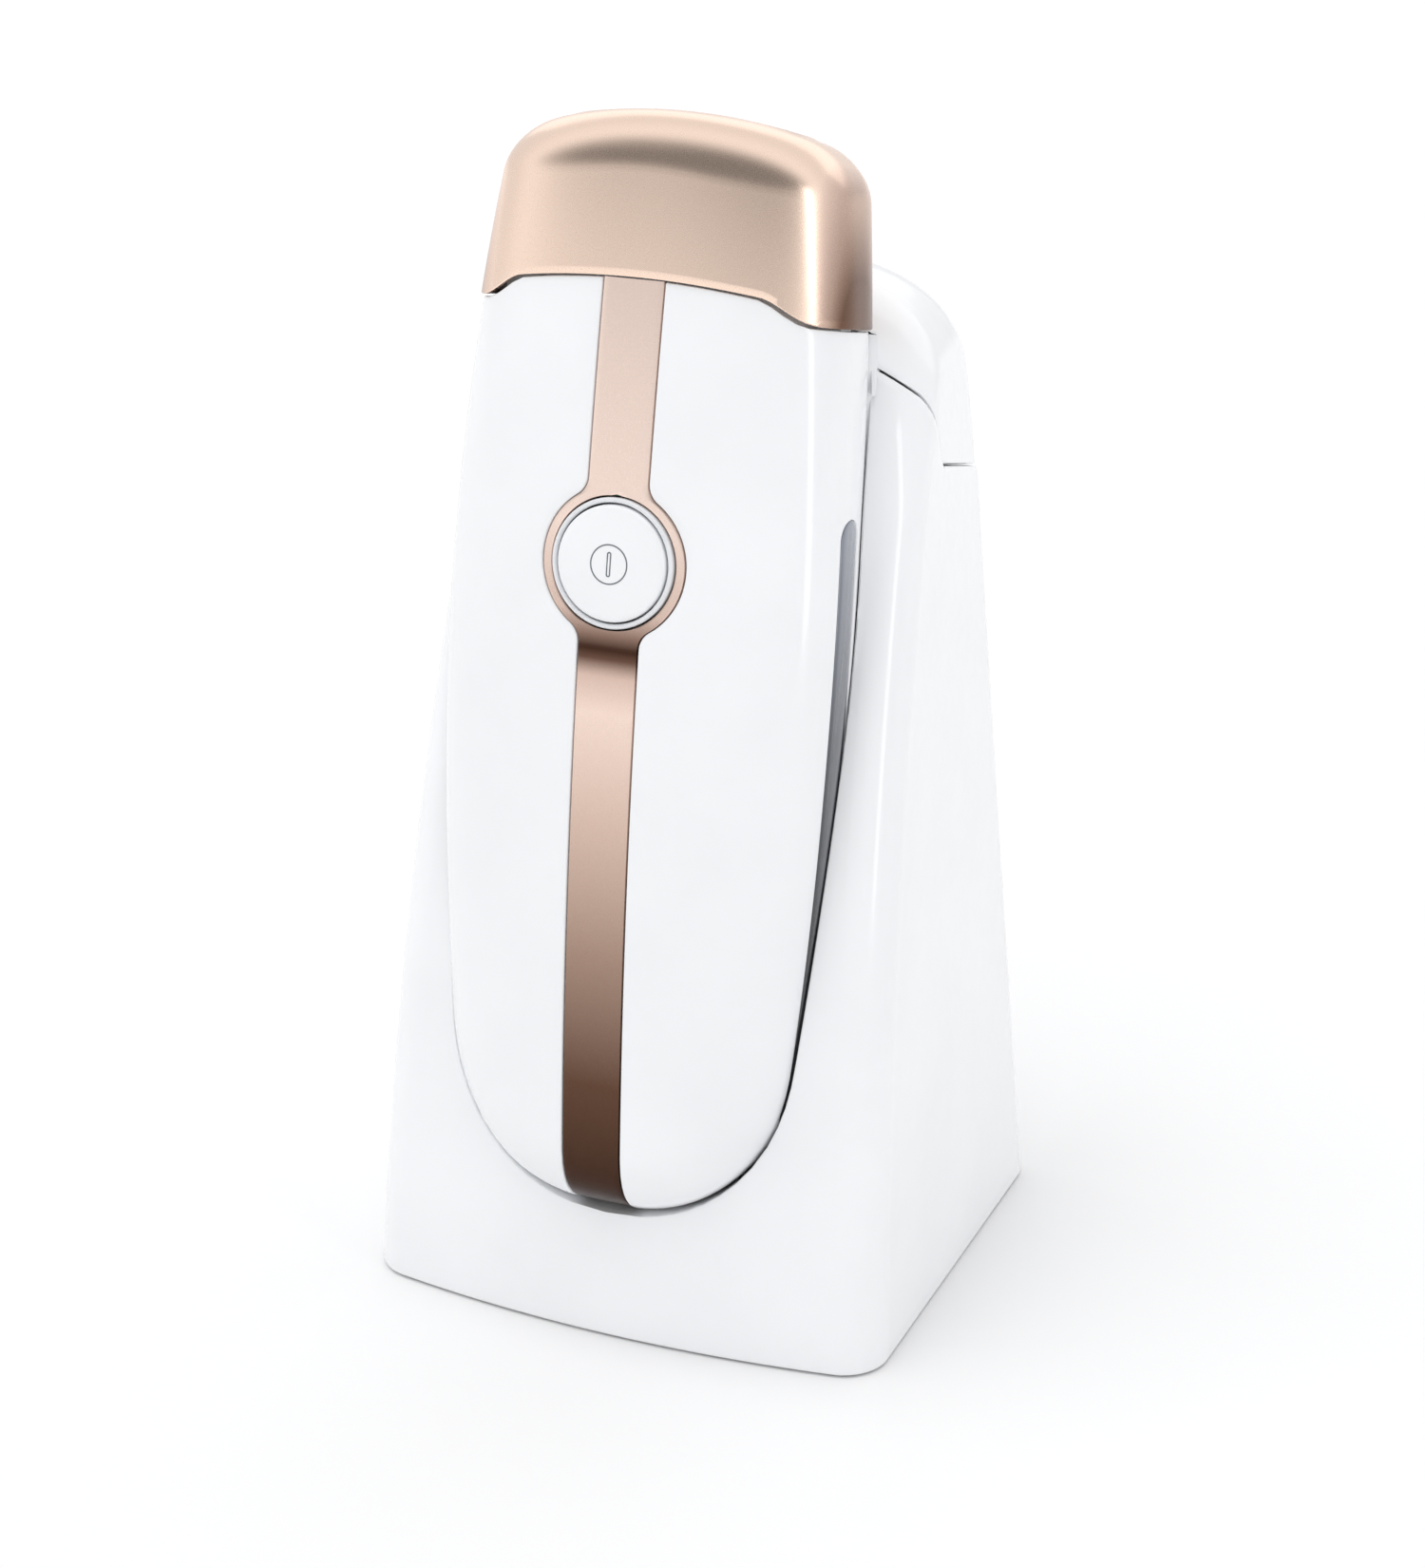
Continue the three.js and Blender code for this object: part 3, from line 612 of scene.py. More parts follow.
def make_sun():
    """Very soft daylight. It leaves no highlight of its own."""
    data = bpy.data.lights.new("daylight", "SUN")
    data.energy, data.angle = SUN_STRENGTH, SUN_ANGLE
    sun = bpy.data.objects.new("daylight", data)
    sun.rotation_euler = Vector(SUN_FROM).to_track_quat("Z", "Y").to_euler()
    sun.visible_glossy = False
    bpy.context.scene.collection.objects.link(sun)


def make_floor():
    bpy.ops.mesh.primitive_plane_add(size=FLOOR_SIZE, location=(0, 0, 0))
    floor = bpy.context.object
    floor.name = "floor"
    look = Finish("floor_paint", (FLOOR_SHADE,) * 3, FLOOR_ROUGHNESS)
    floor.data.materials.append(look.material)


def make_studio():
    make_world()
    for name, at, size, power in AREA_LIGHTS:
        area_light(name, at, MIDDLE, size, power)
    make_sun()
    make_floor()


make_camera()
make_studio()

# ------------------------------------------------------------------ handset shells, stripe and windows


def stripe_half(s):
    """The stripe's half width: straight, and swelling into a disc round the button with filleted necks."""
    d = np.abs(s - S_BUTTON)
    disc = np.sqrt(np.maximum(STRIPE_DISC_R**2 - d**2, 0))
    neck_r = 4.0
    across = STRIPE_HALF + neck_r
    meet = math.sqrt((STRIPE_DISC_R + neck_r) ** 2 - across**2)  # where the neck's arc is centred, along s
    leave = meet * STRIPE_DISC_R / (STRIPE_DISC_R + neck_r)
    neck = across - np.sqrt(np.maximum(neck_r**2 - (meet - d) ** 2, 0))
    return np.where(d < leave, disc, np.where(d < meet, neck, STRIPE_HALF))


def window_reach(s):
    """The side window's half height at arc length s, 0 beyond its rounded ends."""
    r = (WINDOW_E[1] - WINDOW_E[0]) / 2
    d = np.clip(np.minimum(s - WINDOW_S[0], WINDOW_S[1] - s), 0, r)
    return np.sqrt(r**2 - (r - d) ** 2)


HOLE_R = RING_R + GAP
BUTTON_WELL = -8  # the height of the well's floor under the button
STRIPE_FROM = S_TIP + 0.3


def handset_rows(top):
    """Arc lengths of the grid's rows, closer together where the shape needs it."""
    tip = S_TIP + np.array([0.02, 0.1, 0.22, 0.3, 0.4, 0.6, 0.9, 1.4, 2, 3, 4, 5.5, 7, 9, 11.5, 14.5, 18])
    ends = np.array([-0.6, -0.4, -0.27, -0.2, -0.15, 0, 0.05, 0.2, 0.5, 1, 1.8, 2.8, 3.7])
    hole = HOLE_R * np.cos(np.linspace(0, math.pi, 45))
    parts = [
        tip,
        WINDOW_S[0] + ends,
        np.arange(49, 126, 3.5),
        np.arange(128, 167, 0.6),
        S_BUTTON + hole,
        WINDOW_S[1] - ends,
        np.arange(169, top, 2.5),
        [top],
    ]
    rows = np.sort(np.concatenate(parts))
    keep = np.concatenate([[True], np.diff(rows) > 0.04])
    return rows[keep]


EDGE = [(0.0, GROOVE_FLOOR), (0.05, -0.5), (0.12, -0.2), (0.25, -0.07), (0.45, 0.0)]  # distance from a groove, height


def front_half_row(s):
    """One row of the front shell's right half: positions and how far each is sunk."""
    x, e, run = half_section(s)
    flank = 160
    total = np.interp(E_PARTING, e, run) if e[-1] > E_PARTING else run[-1]
    in_groove = s >= STRIPE_FROM - 0.001
    half = min(float(stripe_half(s)), x[flank] * 0.9) + FIT

    def along_x(value):
        return float(np.interp(value, x[: flank + 1], run[: flank + 1]))

    places, sunk = [], []
    for t in (0, 0.2, 0.4, 0.6, 0.8, 0.92):
        places.append(along_x(half * t))
        sunk.append(GROOVE_FLOOR if in_groove else 0)
    for off, height in EDGE:
        places.append(along_x(half + off))
        sunk.append(height if in_groove else 0)
    centre = float(np.interp((WINDOW_E[0] + WINDOW_E[1]) / 2 - tail(s), e, run))
    low, high = WINDOW_S[0] - FIT, WINDOW_S[1] + FIT
    reach = float(window_reach(s)) + FIT if low <= s <= high else FIT
    in_window = low < s < high
    here = places[-1]
    side = centre - reach - EDGE[-1][0]
    places += between(here, max(side, here + 0.1), 15)
    sunk += [0] * 15
    for off, height in EDGE[::-1]:
        places.append(centre - reach - off)
        sunk.append(height if in_window else 0)
    for t in (-0.5, 0, 0.5):
        places.append(centre + reach * t)
        sunk.append(GROOVE_FLOOR if in_window else 0)
    for off, height in EDGE:
        places.append(centre + reach + off)
        sunk.append(height if in_window else 0)
    places += between(places[-1], max(total, places[-1] + 0.1), 7) + [total]
    sunk += [0] * 8
    places = np.maximum.accumulate(np.minimum(places, total))
    points = bent(np.interp(places, run, x), s, np.interp(places, run, e))
    return points, np.array(sunk, float)


def cap_line(x):
    step = smooth((CAP_STEP[1] - np.abs(x)) / (CAP_STEP[1] - CAP_STEP[0]))
    return S_CAP_SIDE + (S_CAP_MIDDLE - x**2 / CAP_LINE_R - S_CAP_SIDE) * step


RIM = [(-0.5, 0), (-0.15, -0.06), (0, -0.25), (0, -FOLD), (-7, -FOLD)]  # along the shell, and into it


def with_top_rim(points, normals, rows, last):
    """Ends a grid of rows at the levels in last, one for each column, with a rounded rim that turns inwards."""
    fixed = rows < 186
    level = np.repeat(rows[:, None], points.shape[1], 1)
    steps = np.linspace(0, 1, 7)[1:, None]
    wanted = np.concatenate([level[fixed], 186 + (last - 186 - 1) * steps, *[last[None] + a for a, _ in RIM]])
    order = np.zeros(len(wanted))
    order[-len(RIM) :] = [b for _, b in RIM]
    base, normal = (at_heights(g, level, wanted) for g in (points, normals))
    return base + normal * order[:, None, None]


def front_shell():
    rows = handset_rows(200)
    made = [front_half_row(s) for s in rows]
    base = np.stack([m[0] for m in made])
    sunk = np.stack([m[1] for m in made])
    out = normals_of(mirrored(base))[:, base.shape[1] - 1 :]
    across = np.hypot(base[:, :, 0], rows[:, None] - S_BUTTON)
    under_button = (across < HOLE_R + 0.9) & (sunk < -1)
    sunk = np.where(under_button, BUTTON_WELL, sunk)
    whole, normal = mirrored(base + out * sunk[..., None]), normals_of(mirrored(base))
    last = cap_line(whole[np.searchsorted(rows, 193), :, 0]) - GAP
    grid = with_top_rim(whole, normal, rows, last)
    edge = np.stack([grid[:, 0], grid[:, -1]], 1)
    lip = edge - normals_of(grid)[:, [0, -1]] * FOLD
    grid = np.concatenate([lip[:, :1], grid, lip[:, 1:]], 1)
    thing = grid_mesh("front_casing", grid)
    return finish_piece(thing, "handset", "white_shell", "front_shell")


VENTS_S, VENT_X, VENT_HALF = range(114, 139, 6), (6.0, 28.0), 0.8
WELLS, WELL_R, WELL_E = [(15.0, 43.0), (27.5, 166.0)], 3.0, 30.3
SNAP = 0.16  # points this close to an opening's edge move onto it


def vent_edge(x, s):
    """Signed distance to the nearest air vent's edge, negative inside it."""
    r = VENT_HALF - 0.1
    qx = np.abs(x - sum(VENT_X) / 2) - (VENT_X[1] - VENT_X[0]) / 2 + r
    found = np.full(np.shape(x), 99.0)
    for middle in VENTS_S:
        qs = np.abs(s - middle) - VENT_HALF + r
        d = np.hypot(np.maximum(qx, 0), np.maximum(qs, 0)) + np.minimum(np.maximum(qx, qs), 0) - r
        found = np.minimum(found, d)
    return found


def well_edge(x, s):
    """Signed distance to the nearest screw well's edge, negative inside it."""
    return np.minimum.reduce([np.hypot(np.abs(x) - wx, s - ws) - WELL_R for wx, ws in WELLS])


def open_rear(points):
    """Cuts the vents and screw wells into the rear casing's grid, and marks the points that lie inside a vent."""
    x = points[..., 0]
    s, _ = unbent(points[..., 1], points[..., 2])
    along_x = np.gradient(points, axis=1) / np.maximum(np.gradient(x, axis=1), 1e-3)[..., None]
    along_s = np.gradient(points, axis=0) / np.maximum(np.gradient(s, axis=0), 1e-3)[..., None]
    normal = normals_of(points)
    out = points.copy()
    masks = []
    for edge in (vent_edge, well_edge):
        d, h = edge(x, s), 0.01
        towards_x = (edge(x + h, s) - edge(x - h, s)) / (2 * h)
        towards_s = (edge(x, s + h) - edge(x, s - h)) / (2 * h)
        move = np.where(np.abs(d) < SNAP, -d, 0)
        out += along_x * (move * towards_x)[..., None] + along_s * (move * towards_s)[..., None]
        masks.append(d <= -SNAP)
    in_vent, in_well = masks
    out = np.where(in_vent[..., None], out - normal * FOLD, out)
    out = np.where(in_well[..., None], bent(x, s, WELL_E), out)
    return out, in_vent


def rear_shell():
    """The rear casing. A known fault: normals_of points into the handset here, because this grid runs the same way
    across as the front's, so the rim, the side lips and the vents' walls fold outwards by FOLD, not inwards."""
    rows = [np.arange(30, 36, 0.5), np.arange(36, 39.5, 1.5), np.arange(39.6, 46.6, 0.3), np.arange(48, 112, 2.5)]
    rows += [np.arange(112.8, 139.3, 0.2), np.arange(141, 162, 2.5), np.arange(162.6, 169.5, 0.3)]
    rows = np.concatenate([*rows, np.arange(171, 200, 2.5), [200]])
    base = []
    for s in rows:
        x, e, run = half_section(s)
        if e[-1] <= E_PARTING + GAP:
            continue
        start = np.interp(E_PARTING + GAP, e, run)
        reach = min(31.2, 0.95 * np.interp(start, run, x))
        across = np.linspace(0, reach, 105)
        places = np.interp(across, x[:159:-1], run[:159:-1])
        places = np.concatenate([places, np.linspace(places[-1], start, 13)[1:]])
        base.append(bent(np.interp(places, run, x), s, np.interp(places, run, e)))
    base = np.stack(base)
    rows = rows[-len(base) :]
    whole = mirrored(base)
    last = np.full(whole.shape[1], S_CAP_SIDE - GAP)
    grid, in_vent = open_rear(with_top_rim(whole, normals_of(whole), rows, last))
    lips = grid[:, [0, -1]] - normals_of(grid)[:, [0, -1]] * FOLD
    grid = np.concatenate([lips[:, :1], grid, lips[:, 1:]], 1)
    in_vent = np.pad(in_vent, ((0, 0), (1, 1))).ravel()
    faces = [face for face in grid_faces(*grid.shape[:2]) if not all(in_vent[i] for i in face)]
    thing = make_mesh("rear_casing", grid.reshape(-1, 3), faces)
    return finish_piece(thing, "handset", "white_shell", "rear_shell")


def stripe():
    rows = handset_rows(S_CAP_MIDDLE - GAP)
    rows = rows[rows >= STRIPE_FROM]
    top, bottom = [-0.15, -0.21, -0.4, -1.0], -0.15
    base, sunk = [], []
    for s in rows:
        x, e, run = half_section(s)
        half = min(float(stripe_half(s)), x[160] * 0.9)
        inner = math.sqrt(max(HOLE_R**2 - (s - S_BUTTON) ** 2, 0))
        xs = [inner, inner + 0.03, inner + 0.12, inner + 0.3]
        xs += between(inner + 0.3, half - 0.3, 5) + [half - 0.3, half - 0.12, half - 0.03, half]
        holed = inner > 0
        sunk.append([*(top[::-1] if holed else [bottom] * 4), *[bottom] * 5, *top])
        places = np.interp(np.maximum.accumulate(xs), x[:161], run[:161])
        base.append(bent(np.interp(places, run, x), s, np.interp(places, run, e)))
    base, sunk = np.stack(base), np.array(sunk)
    out = normals_of(mirrored(base, keep_middle=True))[:, base.shape[1] :]
    right = base + out * sunk[..., None]
    ends = [base[i] + out[i] * -1.0 for i in (0, -1)]
    right = np.concatenate([ends[0][None], right, ends[1][None]])
    n = right.shape[1]
    points = np.concatenate([right.reshape(-1, 3), (right * (-1, 1, 1)).reshape(-1, 3)])
    faces = grid_faces(len(right), n) + [f[::-1] for f in grid_faces(len(right), n, start=right.shape[0] * n)]
    thing = make_mesh("accent_band", points, faces)
    return finish_piece(thing, "handset", "rose_metallic", "accent_stripe", look=BAND)


def side_window(side, name):
    r = (WINDOW_E[1] - WINDOW_E[0]) / 2
    ends = np.array([0.0, 0.06, 0.25, 0.6, 1.1, 1.8, 2.7, r])
    rows = np.concatenate([WINDOW_S[0] + ends, np.arange(48, 152, 3.0), (WINDOW_S[1] - ends)[::-1]])
    across = np.array([-1, -0.97, -0.9, -0.75, -0.4, 0, 0.4, 0.75, 0.9, 0.97, 1])
    height = np.array([-1.1, -0.35, -0.1, 0.0, 0.05, 0.06, 0.05, 0.0, -0.1, -0.35, -1.1])
    base = []
    for s in rows:
        x, e, run = half_section(s)
        centre = np.interp((WINDOW_E[0] + WINDOW_E[1]) / 2 - tail(s), e, run)
        places = centre + across * max(float(window_reach(s)), 0.02)
        base.append(bent(np.interp(places, run, x), s, np.interp(places, run, e)))
    base = np.stack(base)
    grid = base + normals_of(base) * height[None, :, None]
    grid[0], grid[-1] = (base[i] - normals_of(base)[i] * 1.1 for i in (0, -1))
    thing = grid_mesh(f"smoked_window_{name}", grid * (side, 1, 1))
    return finish_piece(thing, "handset", "smoked_window", f"side_window_{name}")


# ------------------------------------------------------------------ cap

CAP_ROUND = 8.0


def cap_drop(x, e):
    """How far the cap's top falls away to the sides and towards the front."""
    sideways = 5.6 * (1 - np.cos(math.pi / 2 * np.clip(np.abs(x) / 36, 0, 1)))
    return sideways + 3 * np.clip((14 - e) / 14, 0, 1) ** 2


def cap_surface(grow, top, columns=72):
    """Half rows of the cap's surface, from its lower edge to the middle of its top."""
    share = np.linspace(0, 1, columns)

    def ring(s, shrink=0.0):
        x, e, run = half_section(s, size=[size - shrink for size in section_size(s, grow)])
        return np.interp(share * run[-1], run, x), np.interp(share * run[-1], run, e)

    def row(levels, shrink=0.0):
        each = [ring(s, shrink) for s in levels]
        x, e = (np.array([points[axis][c] for c, points in enumerate(each)]) for axis in (0, 1))
        return x, levels, e

    x, e = ring(208)
    low, high = cap_line(x) + 0.3, top - cap_drop(x, e) - CAP_ROUND
    rows = [row(low + (high - low) * t) for t in np.linspace(0, 1, 18)]
    for a in np.linspace(0, math.pi / 2, 13)[1:]:
        shrink = CAP_ROUND * (1 - math.cos(a))
        x, e = ring(208, shrink)
        rows.append(row(top - cap_drop(x, e) - CAP_ROUND * (1 - math.sin(a)), shrink))
    x, _, e = rows[-1]
    middle = widest_depth(208)
    for t in np.linspace(1, 0, 14)[1:]:
        inner_e = middle + (e - middle) * t
        rows.append((x * t, top - cap_drop(x * t, inner_e), inner_e))
    return np.stack([bent(*r) for r in rows])


def cap():
    top = S_TOP - 0.2
    outer = mirrored(cap_surface(CAP_PROUD, top))
    inner = mirrored(cap_surface(CAP_PROUD - CAP_WALL, top - CAP_WALL))
    down = outer[0] - outer[1]
    down /= np.linalg.norm(down, axis=-1, keepdims=True)
    rim = [(inner[0] * (1 - t) + outer[0] * t) + down * d for t, d in ((0.2, 0.25), (0.85, 0.28))]
    grid = np.concatenate([inner[::-1], rim, outer])
    thing = grid_mesh("rose_cap", grid, sharp=50)
    return finish_piece(thing, "cap", "rose_metallic", "protective_cap")


# ------------------------------------------------------------------ button and its ring


MARK_R = 3.45
BAR_HALF = (0.3, 2.1)  # the mark's bar: half its width and half its height


def dome_height(r):
    return 1.5 - 0.0062 * r * r


def button():
    place = on_handset(0.0, S_BUTTON, 0.0)
    inner, outer = BUTTON_R + 0.25, RING_R
    profile = rounded([(inner, -4), (inner, 0.1), (inner + 0.45, 0.5), (outer, 0.1), (outer, -4)], 0.35)
    ring = lathe("light_ring", profile + [(inner, -4)], place)
    finish_piece(ring, "handset", "clear_ring", "button_ring")

    dome = [(r, dome_height(r)) for r in np.linspace(0, BUTTON_R - 1.0, 24)]
    shoulder = rounded([dome[-1], (BUTTON_R - 0.15, 0.72), (BUTTON_R, -0.5), (BUTTON_R, -1.4), (0, -1.4)], 0.6)
    thing = lathe("push_button", dome[:-1] + shoulder, place)
    finish_piece(thing, "button", "white_shell", "power_button")

    # The mark: a thin circle, and the outline of an upright bar inside it.
    section = [(-0.13, -0.05), (-0.11, 0.05), (0, 0.08), (0.11, 0.05), (0.13, -0.05)]
    circle = [(MARK_R + a, dome_height(MARK_R) + h) for a, h in section]
    thing = lathe("mark_circle", circle, place, 72)
    finish_piece(thing, "button", "grey_plastic", look=INK)
    angles = np.linspace(0, 2 * math.pi, 48, endpoint=False)
    rows = []
    for a, h in section:
        x = (BAR_HALF[0] + a) * np.cos(angles)
        y = (BAR_HALF[0] + a) * np.sin(angles) + np.where(np.sin(angles) > 0, 1, -1) * (BAR_HALF[1] - BAR_HALF[0])
        rows.append(np.stack([x, y, dome_height(np.hypot(x, y)) + h], -1))
    thing = grid_mesh("mark_bar", np.array(rows) @ place[0].T + place[1], closed=True)
    finish_piece(thing, "button", "grey_plastic", look=INK)


# ------------------------------------------------------------------ stand

BASE_HALF_WIDTH, BASE_HALF_DEPTH, FRONT_BOW = 53.0, 46.5, 5.2
STAND_BOTTOM, DOME_START, DOME_HEIGHT = 0.5, 172.0, 22.0
POCKET_GAP = 0.2
INLET_Z, INLET_R, INLET_DEPTH = 13.0, 6.0, 8.0
SPLIT_TILT = math.radians(14.6)
SPLIT_LOW, SPLIT_HIGH, SPLIT_ARCH, SPLIT_STEP = 157.5, 168.0, 10.0, (6.0, -4.0)
SIDE_BOW = 0.35


def conic(a, corner, b, n):
    """Points of a rounded corner from a to b, without its ends."""
    t = np.linspace(0, 1, n + 2)[1:-1, None]
    weight = 0.74
    blend = (1 - t) ** 2 + 2 * weight * t * (1 - t) + t**2
    return ((1 - t) ** 2 * a + 2 * weight * t * (1 - t) * corner + t**2 * b) / blend


def stand_outline(z, inset):
    """The right half of the stand's outline at height z, and the lengths along it where its stretches end."""
    rise = float(np.clip((z - DOME_START + (inset if z > DOME_START else 0)) / DOME_HEIGHT, 0, 1))
    wf = BASE_HALF_WIDTH - 0.046 * z - inset
    wb = BASE_HALF_WIDTH - 0.087 * z - inset
    yf = -BASE_HALF_DEPTH + 0.0485 * z + 0.00095 * z * z + inset
    yb = BASE_HALF_DEPTH - 0.05 * z - inset
    soft = float(smooth((z - 155) / 30))
    rf, rb = 7.5 + 7 * soft, 6.0 + 5 * soft

    def front(x):
        return yf - FRONT_BOW * (1 - (x / wf) ** 2)

    bow = SIDE_BOW * float(smooth(z / 60))

    def flank(t):
        return np.stack([wf + (wb - wf) * t + bow * 4 * t * (1 - t), yf + (yb - yf) * t], -1)

    length = math.hypot(wf - wb, yb - yf)
    xs = np.linspace(0, wf - rf, 160)
    stretch = [
        np.stack([xs, front(xs)], -1),
        flank(np.linspace(rf / length, 1 - rb / length, 120)),
        np.stack([np.linspace(wb - rb, 0, 60), np.full(60, yb)], -1),
    ]
    corners = [
        conic(stretch[0][-1], np.array([wf, yf]), stretch[1][0], 24),
        conic(stretch[1][-1], np.array([wb, yb]), stretch[2][0], 20),
    ]
    parts = [stretch[0], corners[0], stretch[1], corners[1], stretch[2]]
    line = np.concatenate(parts)
    across = (1 - rise**2.6) ** (1 / 2.6)
    deep = (1 - rise**3.4) ** (1 / 3.4)
    middle = (yf + yb) / 2 + 6 * rise
    line = np.stack([line[:, 0] * across, middle + (line[:, 1] - middle) * deep], -1)
    run = np.concatenate([[0], np.cumsum(np.hypot(*np.diff(line, axis=0).T))])
    ends = np.cumsum([len(p) for p in parts]) - 1
    return line, run, run[ends]


def pocket_half_width(y, z):
    """Half the pocket's width at each y of height z, and 0 behind it."""
    s, e = unbent(y, z)
    width, _, back = section_size(s, POCKET_GAP + 0.8 * smooth((s - 150) / 40))
    depth = np.clip((e - widest_depth(s)) / np.maximum(back, 1e-6), 0, 1)
    inside = (s > S_TIP - POCKET_GAP) & (depth < 1)
    power = back_power(s)
    return np.where(inside, width * (1 - depth**power) ** (1 / power), 0)


FRONT_COLS, CORNER_COLS, SIDE_COLS, BACK_CORNER_COLS, BACK_COLS, POCKET_COLS = 14, 9, 40, 7, 10, 30
EDGE_ROUND = 0.5


def stand_loop(z, inset):
    """The right half of the stand's section at height z: the outer outline from the pocket's edge to the back
    centre, and before it the pocket's wall, from the pocket's back to its edge."""
    line, run, ends = stand_outline(z, inset)
    inside = pocket_half_width(line[:, 1], z) - line[:, 0]
    edge_run, wall = 0.0, None
    if inside[0] > 0.3:
        first = int(np.argmax(inside < 0))
        share = inside[first - 1] / (inside[first - 1] - inside[first])
        edge_run = run[first - 1] + share * (run[first] - run[first - 1])
        edge = np.array([np.interp(edge_run, run, line[:, k]) for k in (0, 1)])
        t = np.linspace(0, 1, 1200)
        y = edge[1] + (60 - edge[1]) * t
        width = pocket_half_width(y, z)
        last = int(np.argmax(width <= 0))
        back = y[last]
        y = edge[1] + (back - edge[1]) * np.sin(np.linspace(0, math.pi / 2, 400)) ** 0.9
        wall = np.stack([pocket_half_width(y, z), y], -1)
        wall[0], wall[-1] = edge, (0, back)
    breaks = [edge_run]
    for k, end in enumerate(ends):
        breaks.append(max(end, breaks[-1] + (1.0 if k < 4 else 0)))
    counts = [FRONT_COLS, CORNER_COLS, SIDE_COLS, BACK_CORNER_COLS, BACK_COLS]
    places = [breaks[0]]
    for a, b, n in zip(breaks, breaks[1:], counts):
        places += list(np.linspace(a, b, n + 1)[1:])
    places = np.array(places)
    outer = np.stack([np.interp(places, run, line[:, k]) for k in (0, 1)], -1)
    if wall is None:
        start = np.repeat(outer[:1], POCKET_COLS + 4, 0)
        return np.concatenate([start, outer[1:]])
    wall_run = np.concatenate([[0], np.cumsum(np.hypot(*np.diff(wall, axis=0).T))])
    radius = min(EDGE_ROUND, 0.2 * wall_run[-1], 0.3 * (places[1] - places[0]) + 0.2)
    spots = np.linspace(wall_run[-1], radius, POCKET_COLS)
    inner = np.stack([np.interp(spots, wall_run, wall[:, k]) for k in (0, 1)], -1)
    leave = np.array([np.interp(edge_run + radius, run, line[:, k]) for k in (0, 1)])
    turn = conic(inner[-1], outer[0], leave, 3)
    outer = np.concatenate([leave[None], outer[1:]])
    return np.concatenate([inner, turn, outer])


def stand_grid(levels, inset):
    """Sections at fixed heights, as x, y, z; half of each, from the pocket's back to the stand's back."""
    loops = [stand_loop(z, inset) for z in levels]
    return np.stack([np.column_stack([loop, np.full(len(loop), z)]) for loop, z in zip(loops, levels)])


def loop_normals(grid):
    """Outward horizontal normals of half sections, as x, y, 0."""
    whole = np.concatenate([grid[:, :1] * (-1, 1, 1), grid, grid[:, -1:] * (-1, 1, 1)], 1)
    along = np.gradient(whole[:, :, :2], axis=1)[:, 1:-1]
    along[:, 0], along[:, -1] = (1, 0), (-1, 0)
    n = np.stack([along[..., 1], -along[..., 0], np.zeros(along.shape[:2])], -1)
    return n / np.maximum(np.linalg.norm(n, axis=-1, keepdims=True), 1e-9)


def split_height(x, y, is_wall):
    """The height of the line where the top cover starts, at x and y."""
    high = SPLIT_HIGH + SPLIT_ARCH * (1 - np.clip(np.abs(x) / 44, 0, 1) ** 3)
    step = smooth((SPLIT_STEP[0] - y) / (SPLIT_STEP[0] - SPLIT_STEP[1]))
    level = np.where(is_wall, high, SPLIT_LOW + (high - SPLIT_LOW) * step)
    return (level - y * math.sin(SPLIT_TILT)) / math.cos(SPLIT_TILT)


def split_levels(grid):
    """The split line's height for each column of a grid of sections."""
    level = grid[:, :, 2]
    is_wall = np.arange(grid.shape[1]) < POCKET_COLS + 2
    z = np.full(grid.shape[1], 170.0)
    for _ in range(40):
        here = at_heights(grid, level, z[None])[0]
        z = 0.5 * z + 0.5 * split_height(here[:, 0], here[:, 1], is_wall)
    return z


def whole_loop(half):
    """Closes half sections by their mirror image."""
    return np.concatenate([half, (half * (-1, 1, 1))[:, -2:0:-1]], 1)


# Heights of the rows round the pocket's rounded bottom.
POCKET_LEVELS = [24.85, 24.95, 25.05, 25.2, 25.45, 25.8, 26.3, 27, 28, 29.3, 31, 33.2, 36, 39.5, 44]
# The body's upper edge and its lower edge: height along the wall, and how far out.
SHOULDER = [(-1.3, 0.0), (-0.75, -0.06), (-0.35, -0.22), (-0.1, -0.5), (0.0, -0.9), (-0.2, -1.9), (-4, -2.0)]
FOOT_ROLL = [(0.0, -1.2), (0.0, -0.5), (0.12, -0.2), (0.35, -0.05), (0.7, 0.0)]


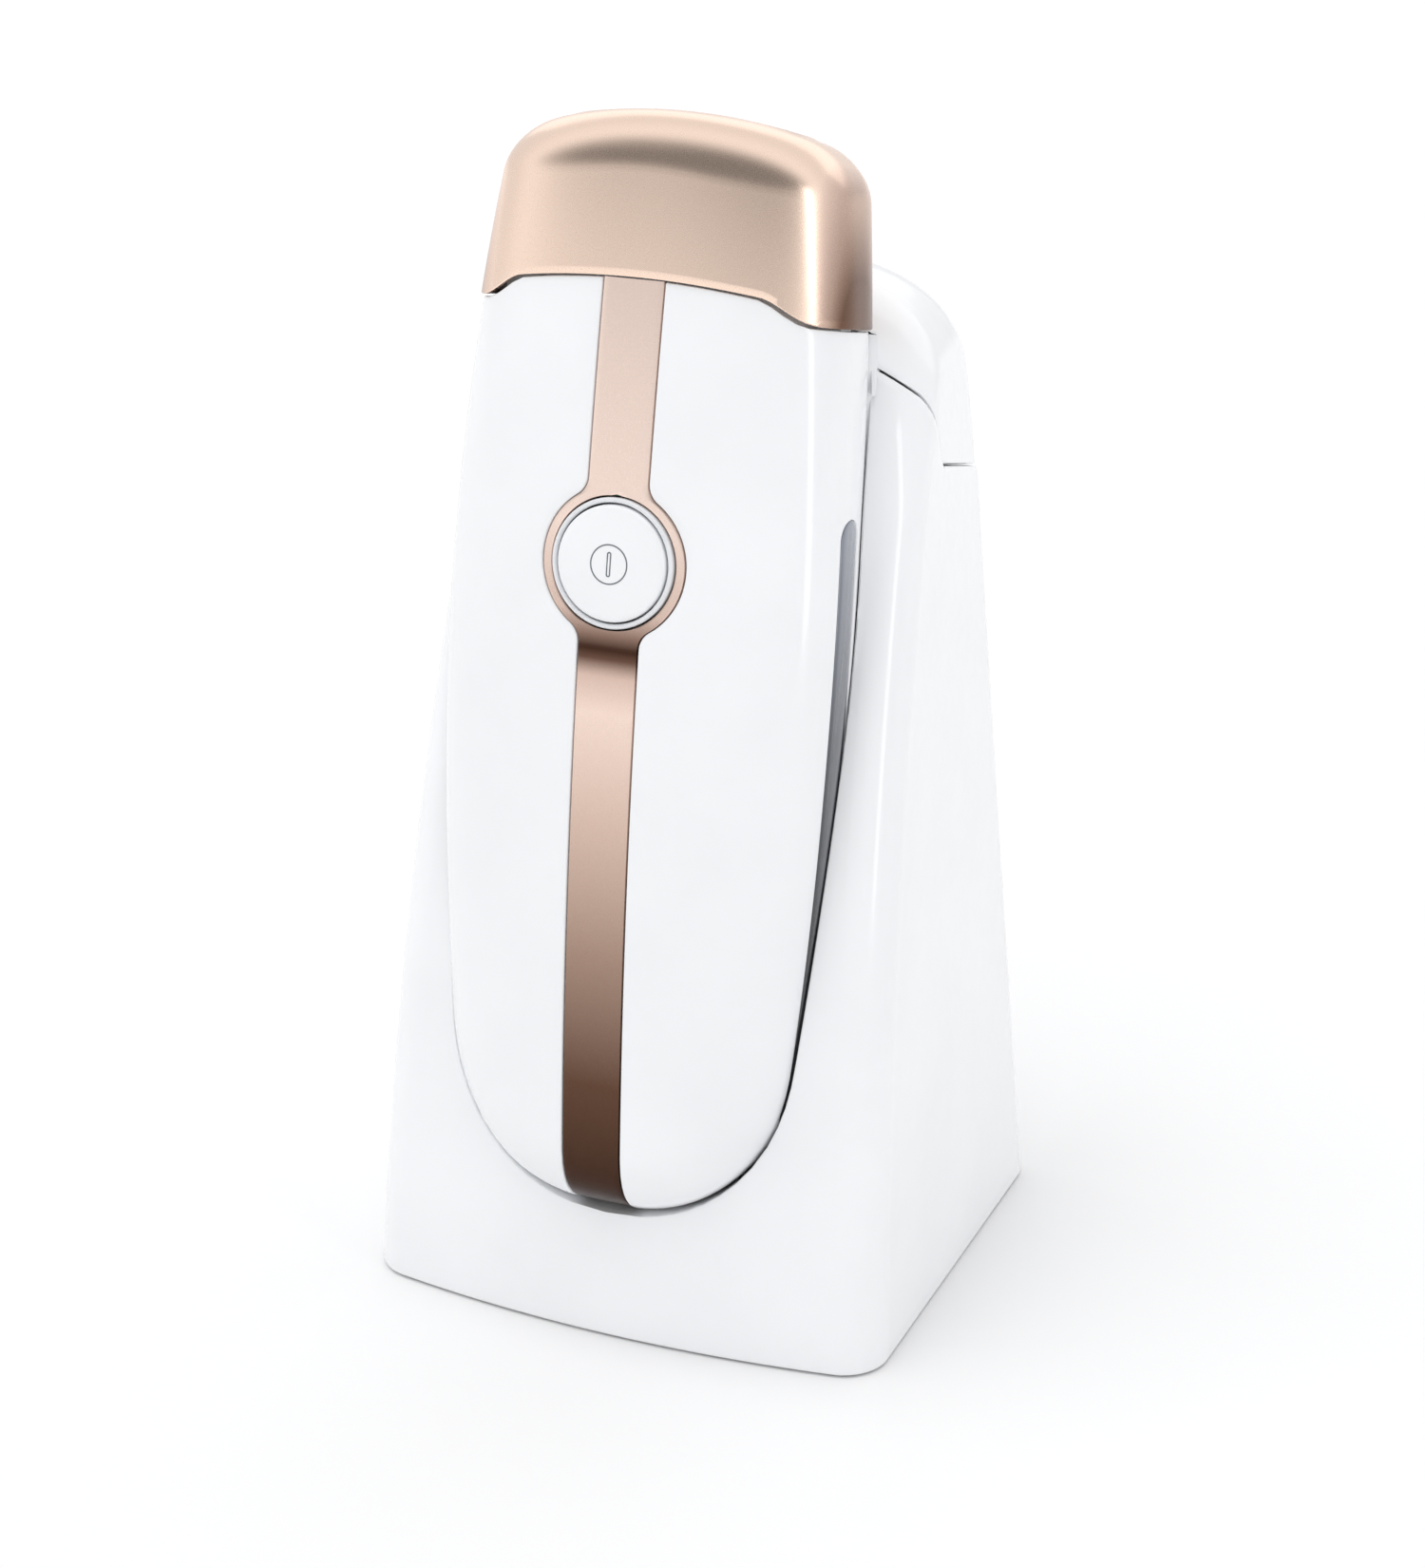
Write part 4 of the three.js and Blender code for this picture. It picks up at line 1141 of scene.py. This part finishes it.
def stand_body():
    fixed = np.concatenate([[STAND_BOTTOM + a for a, _ in FOOT_ROLL], np.arange(4, 24.8, 2.6), POCKET_LEVELS])
    upper = np.concatenate([np.arange(48, 140, 4.0), np.arange(140, 191, 0.75)])
    levels = np.concatenate([fixed, upper])
    grid = stand_grid(levels, 0.0)
    normal = loop_normals(grid)
    top = split_levels(grid)
    is_low = levels < 145
    steps = np.linspace(0, 1, 16)[1:, None]
    heights = np.repeat(levels[is_low][:, None], grid.shape[1], 1)
    last_low = levels[is_low][-1]
    climb = last_low + (top - 1.6 - last_low) * steps
    rim = np.stack([top + a for a, _ in SHOULDER])
    wanted = np.concatenate([heights, climb, rim])
    push = np.zeros(len(wanted))
    push[: len(FOOT_ROLL)] = [b for _, b in FOOT_ROLL]
    push[-len(SHOULDER) :] = [b for _, b in SHOULDER]
    level = np.repeat(levels[:, None], grid.shape[1], 1)
    base, out = at_heights(grid, level, wanted), at_heights(normal, level, wanted)
    out /= np.maximum(np.linalg.norm(out, axis=-1, keepdims=True), 1e-9)
    points = base + out * push[:, None, None]
    points[..., 2] = wanted
    thing = grid_mesh("stand_casing", whole_loop(points), closed=True, sharp=45)
    punch(thing, (0.0, INLET_Z), INLET_R, (8.9, 8.9), INLET_DEPTH, lambda z: BASE_HALF_DEPTH - 0.05 * z)
    return finish_piece(thing, "stand", "white_shell", "stand_body")


# The hood's lower edge: height above the split line, and how far out.
COVER_LIP = [(4.0, -2.2), (0.4, -2.0), (0.35, -0.9), (0.5, -0.55), (0.8, -0.45), (1.4, -0.4)]


COVER_TOP = [190, 190.8, 191.6, 192.3, 192.9, 193.4, 193.7, 193.85]  # heights of the hood's last rows


def stand_cover():
    levels = np.concatenate([np.arange(148, 190, 0.75), COVER_TOP])
    grid = stand_grid(levels, 0.0)
    normal = loop_normals(grid)
    start = split_levels(grid)
    end = levels[-1]
    rim = np.stack([start + a for a, _ in COVER_LIP])
    first = start + 1.4
    share = 1 - (1 - np.linspace(0, 1, 34)[1:, None]) ** 1.6
    wanted = np.concatenate([rim, first + (end - first) * share])
    push = np.full(len(wanted), -0.4)
    push[: len(COVER_LIP)] = [b for _, b in COVER_LIP]
    level = np.repeat(levels[:, None], grid.shape[1], 1)
    base, out = at_heights(grid, level, wanted), at_heights(normal, level, wanted)
    out /= np.maximum(np.linalg.norm(out, axis=-1, keepdims=True), 1e-9)
    points = base + out * push[:, None, None]
    points[..., 2] = wanted
    thing = grid_mesh("hood_casing", whole_loop(points), closed=True, fill=(-1,), sharp=50)
    return finish_piece(thing, "stand", "white_shell", "stand_top_cover")


def feet():
    for number in range(1, 5):
        low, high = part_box(f"foot_{number}")
        middle = (low + high) / 2 / MM
        height = (high.z - low.z) / MM
        profile = rounded([(0, 0), (5.6, 0), (6.5, height), (0, height)], 0.5)
        place = (np.eye(3), np.array([middle.x, middle.y - CENTRE_SHIFT, 0]))
        thing = lathe(f"rubber_foot_{number}", profile, place, 48)
        finish_piece(thing, "stand", "rubber_feet", f"foot_{number}")


finish_cad_nodes()
front_shell()
rear_shell()
stripe()
side_window(-1, "left")
side_window(1, "right")
cap()
button()
stand_body()
stand_cover()
feet()
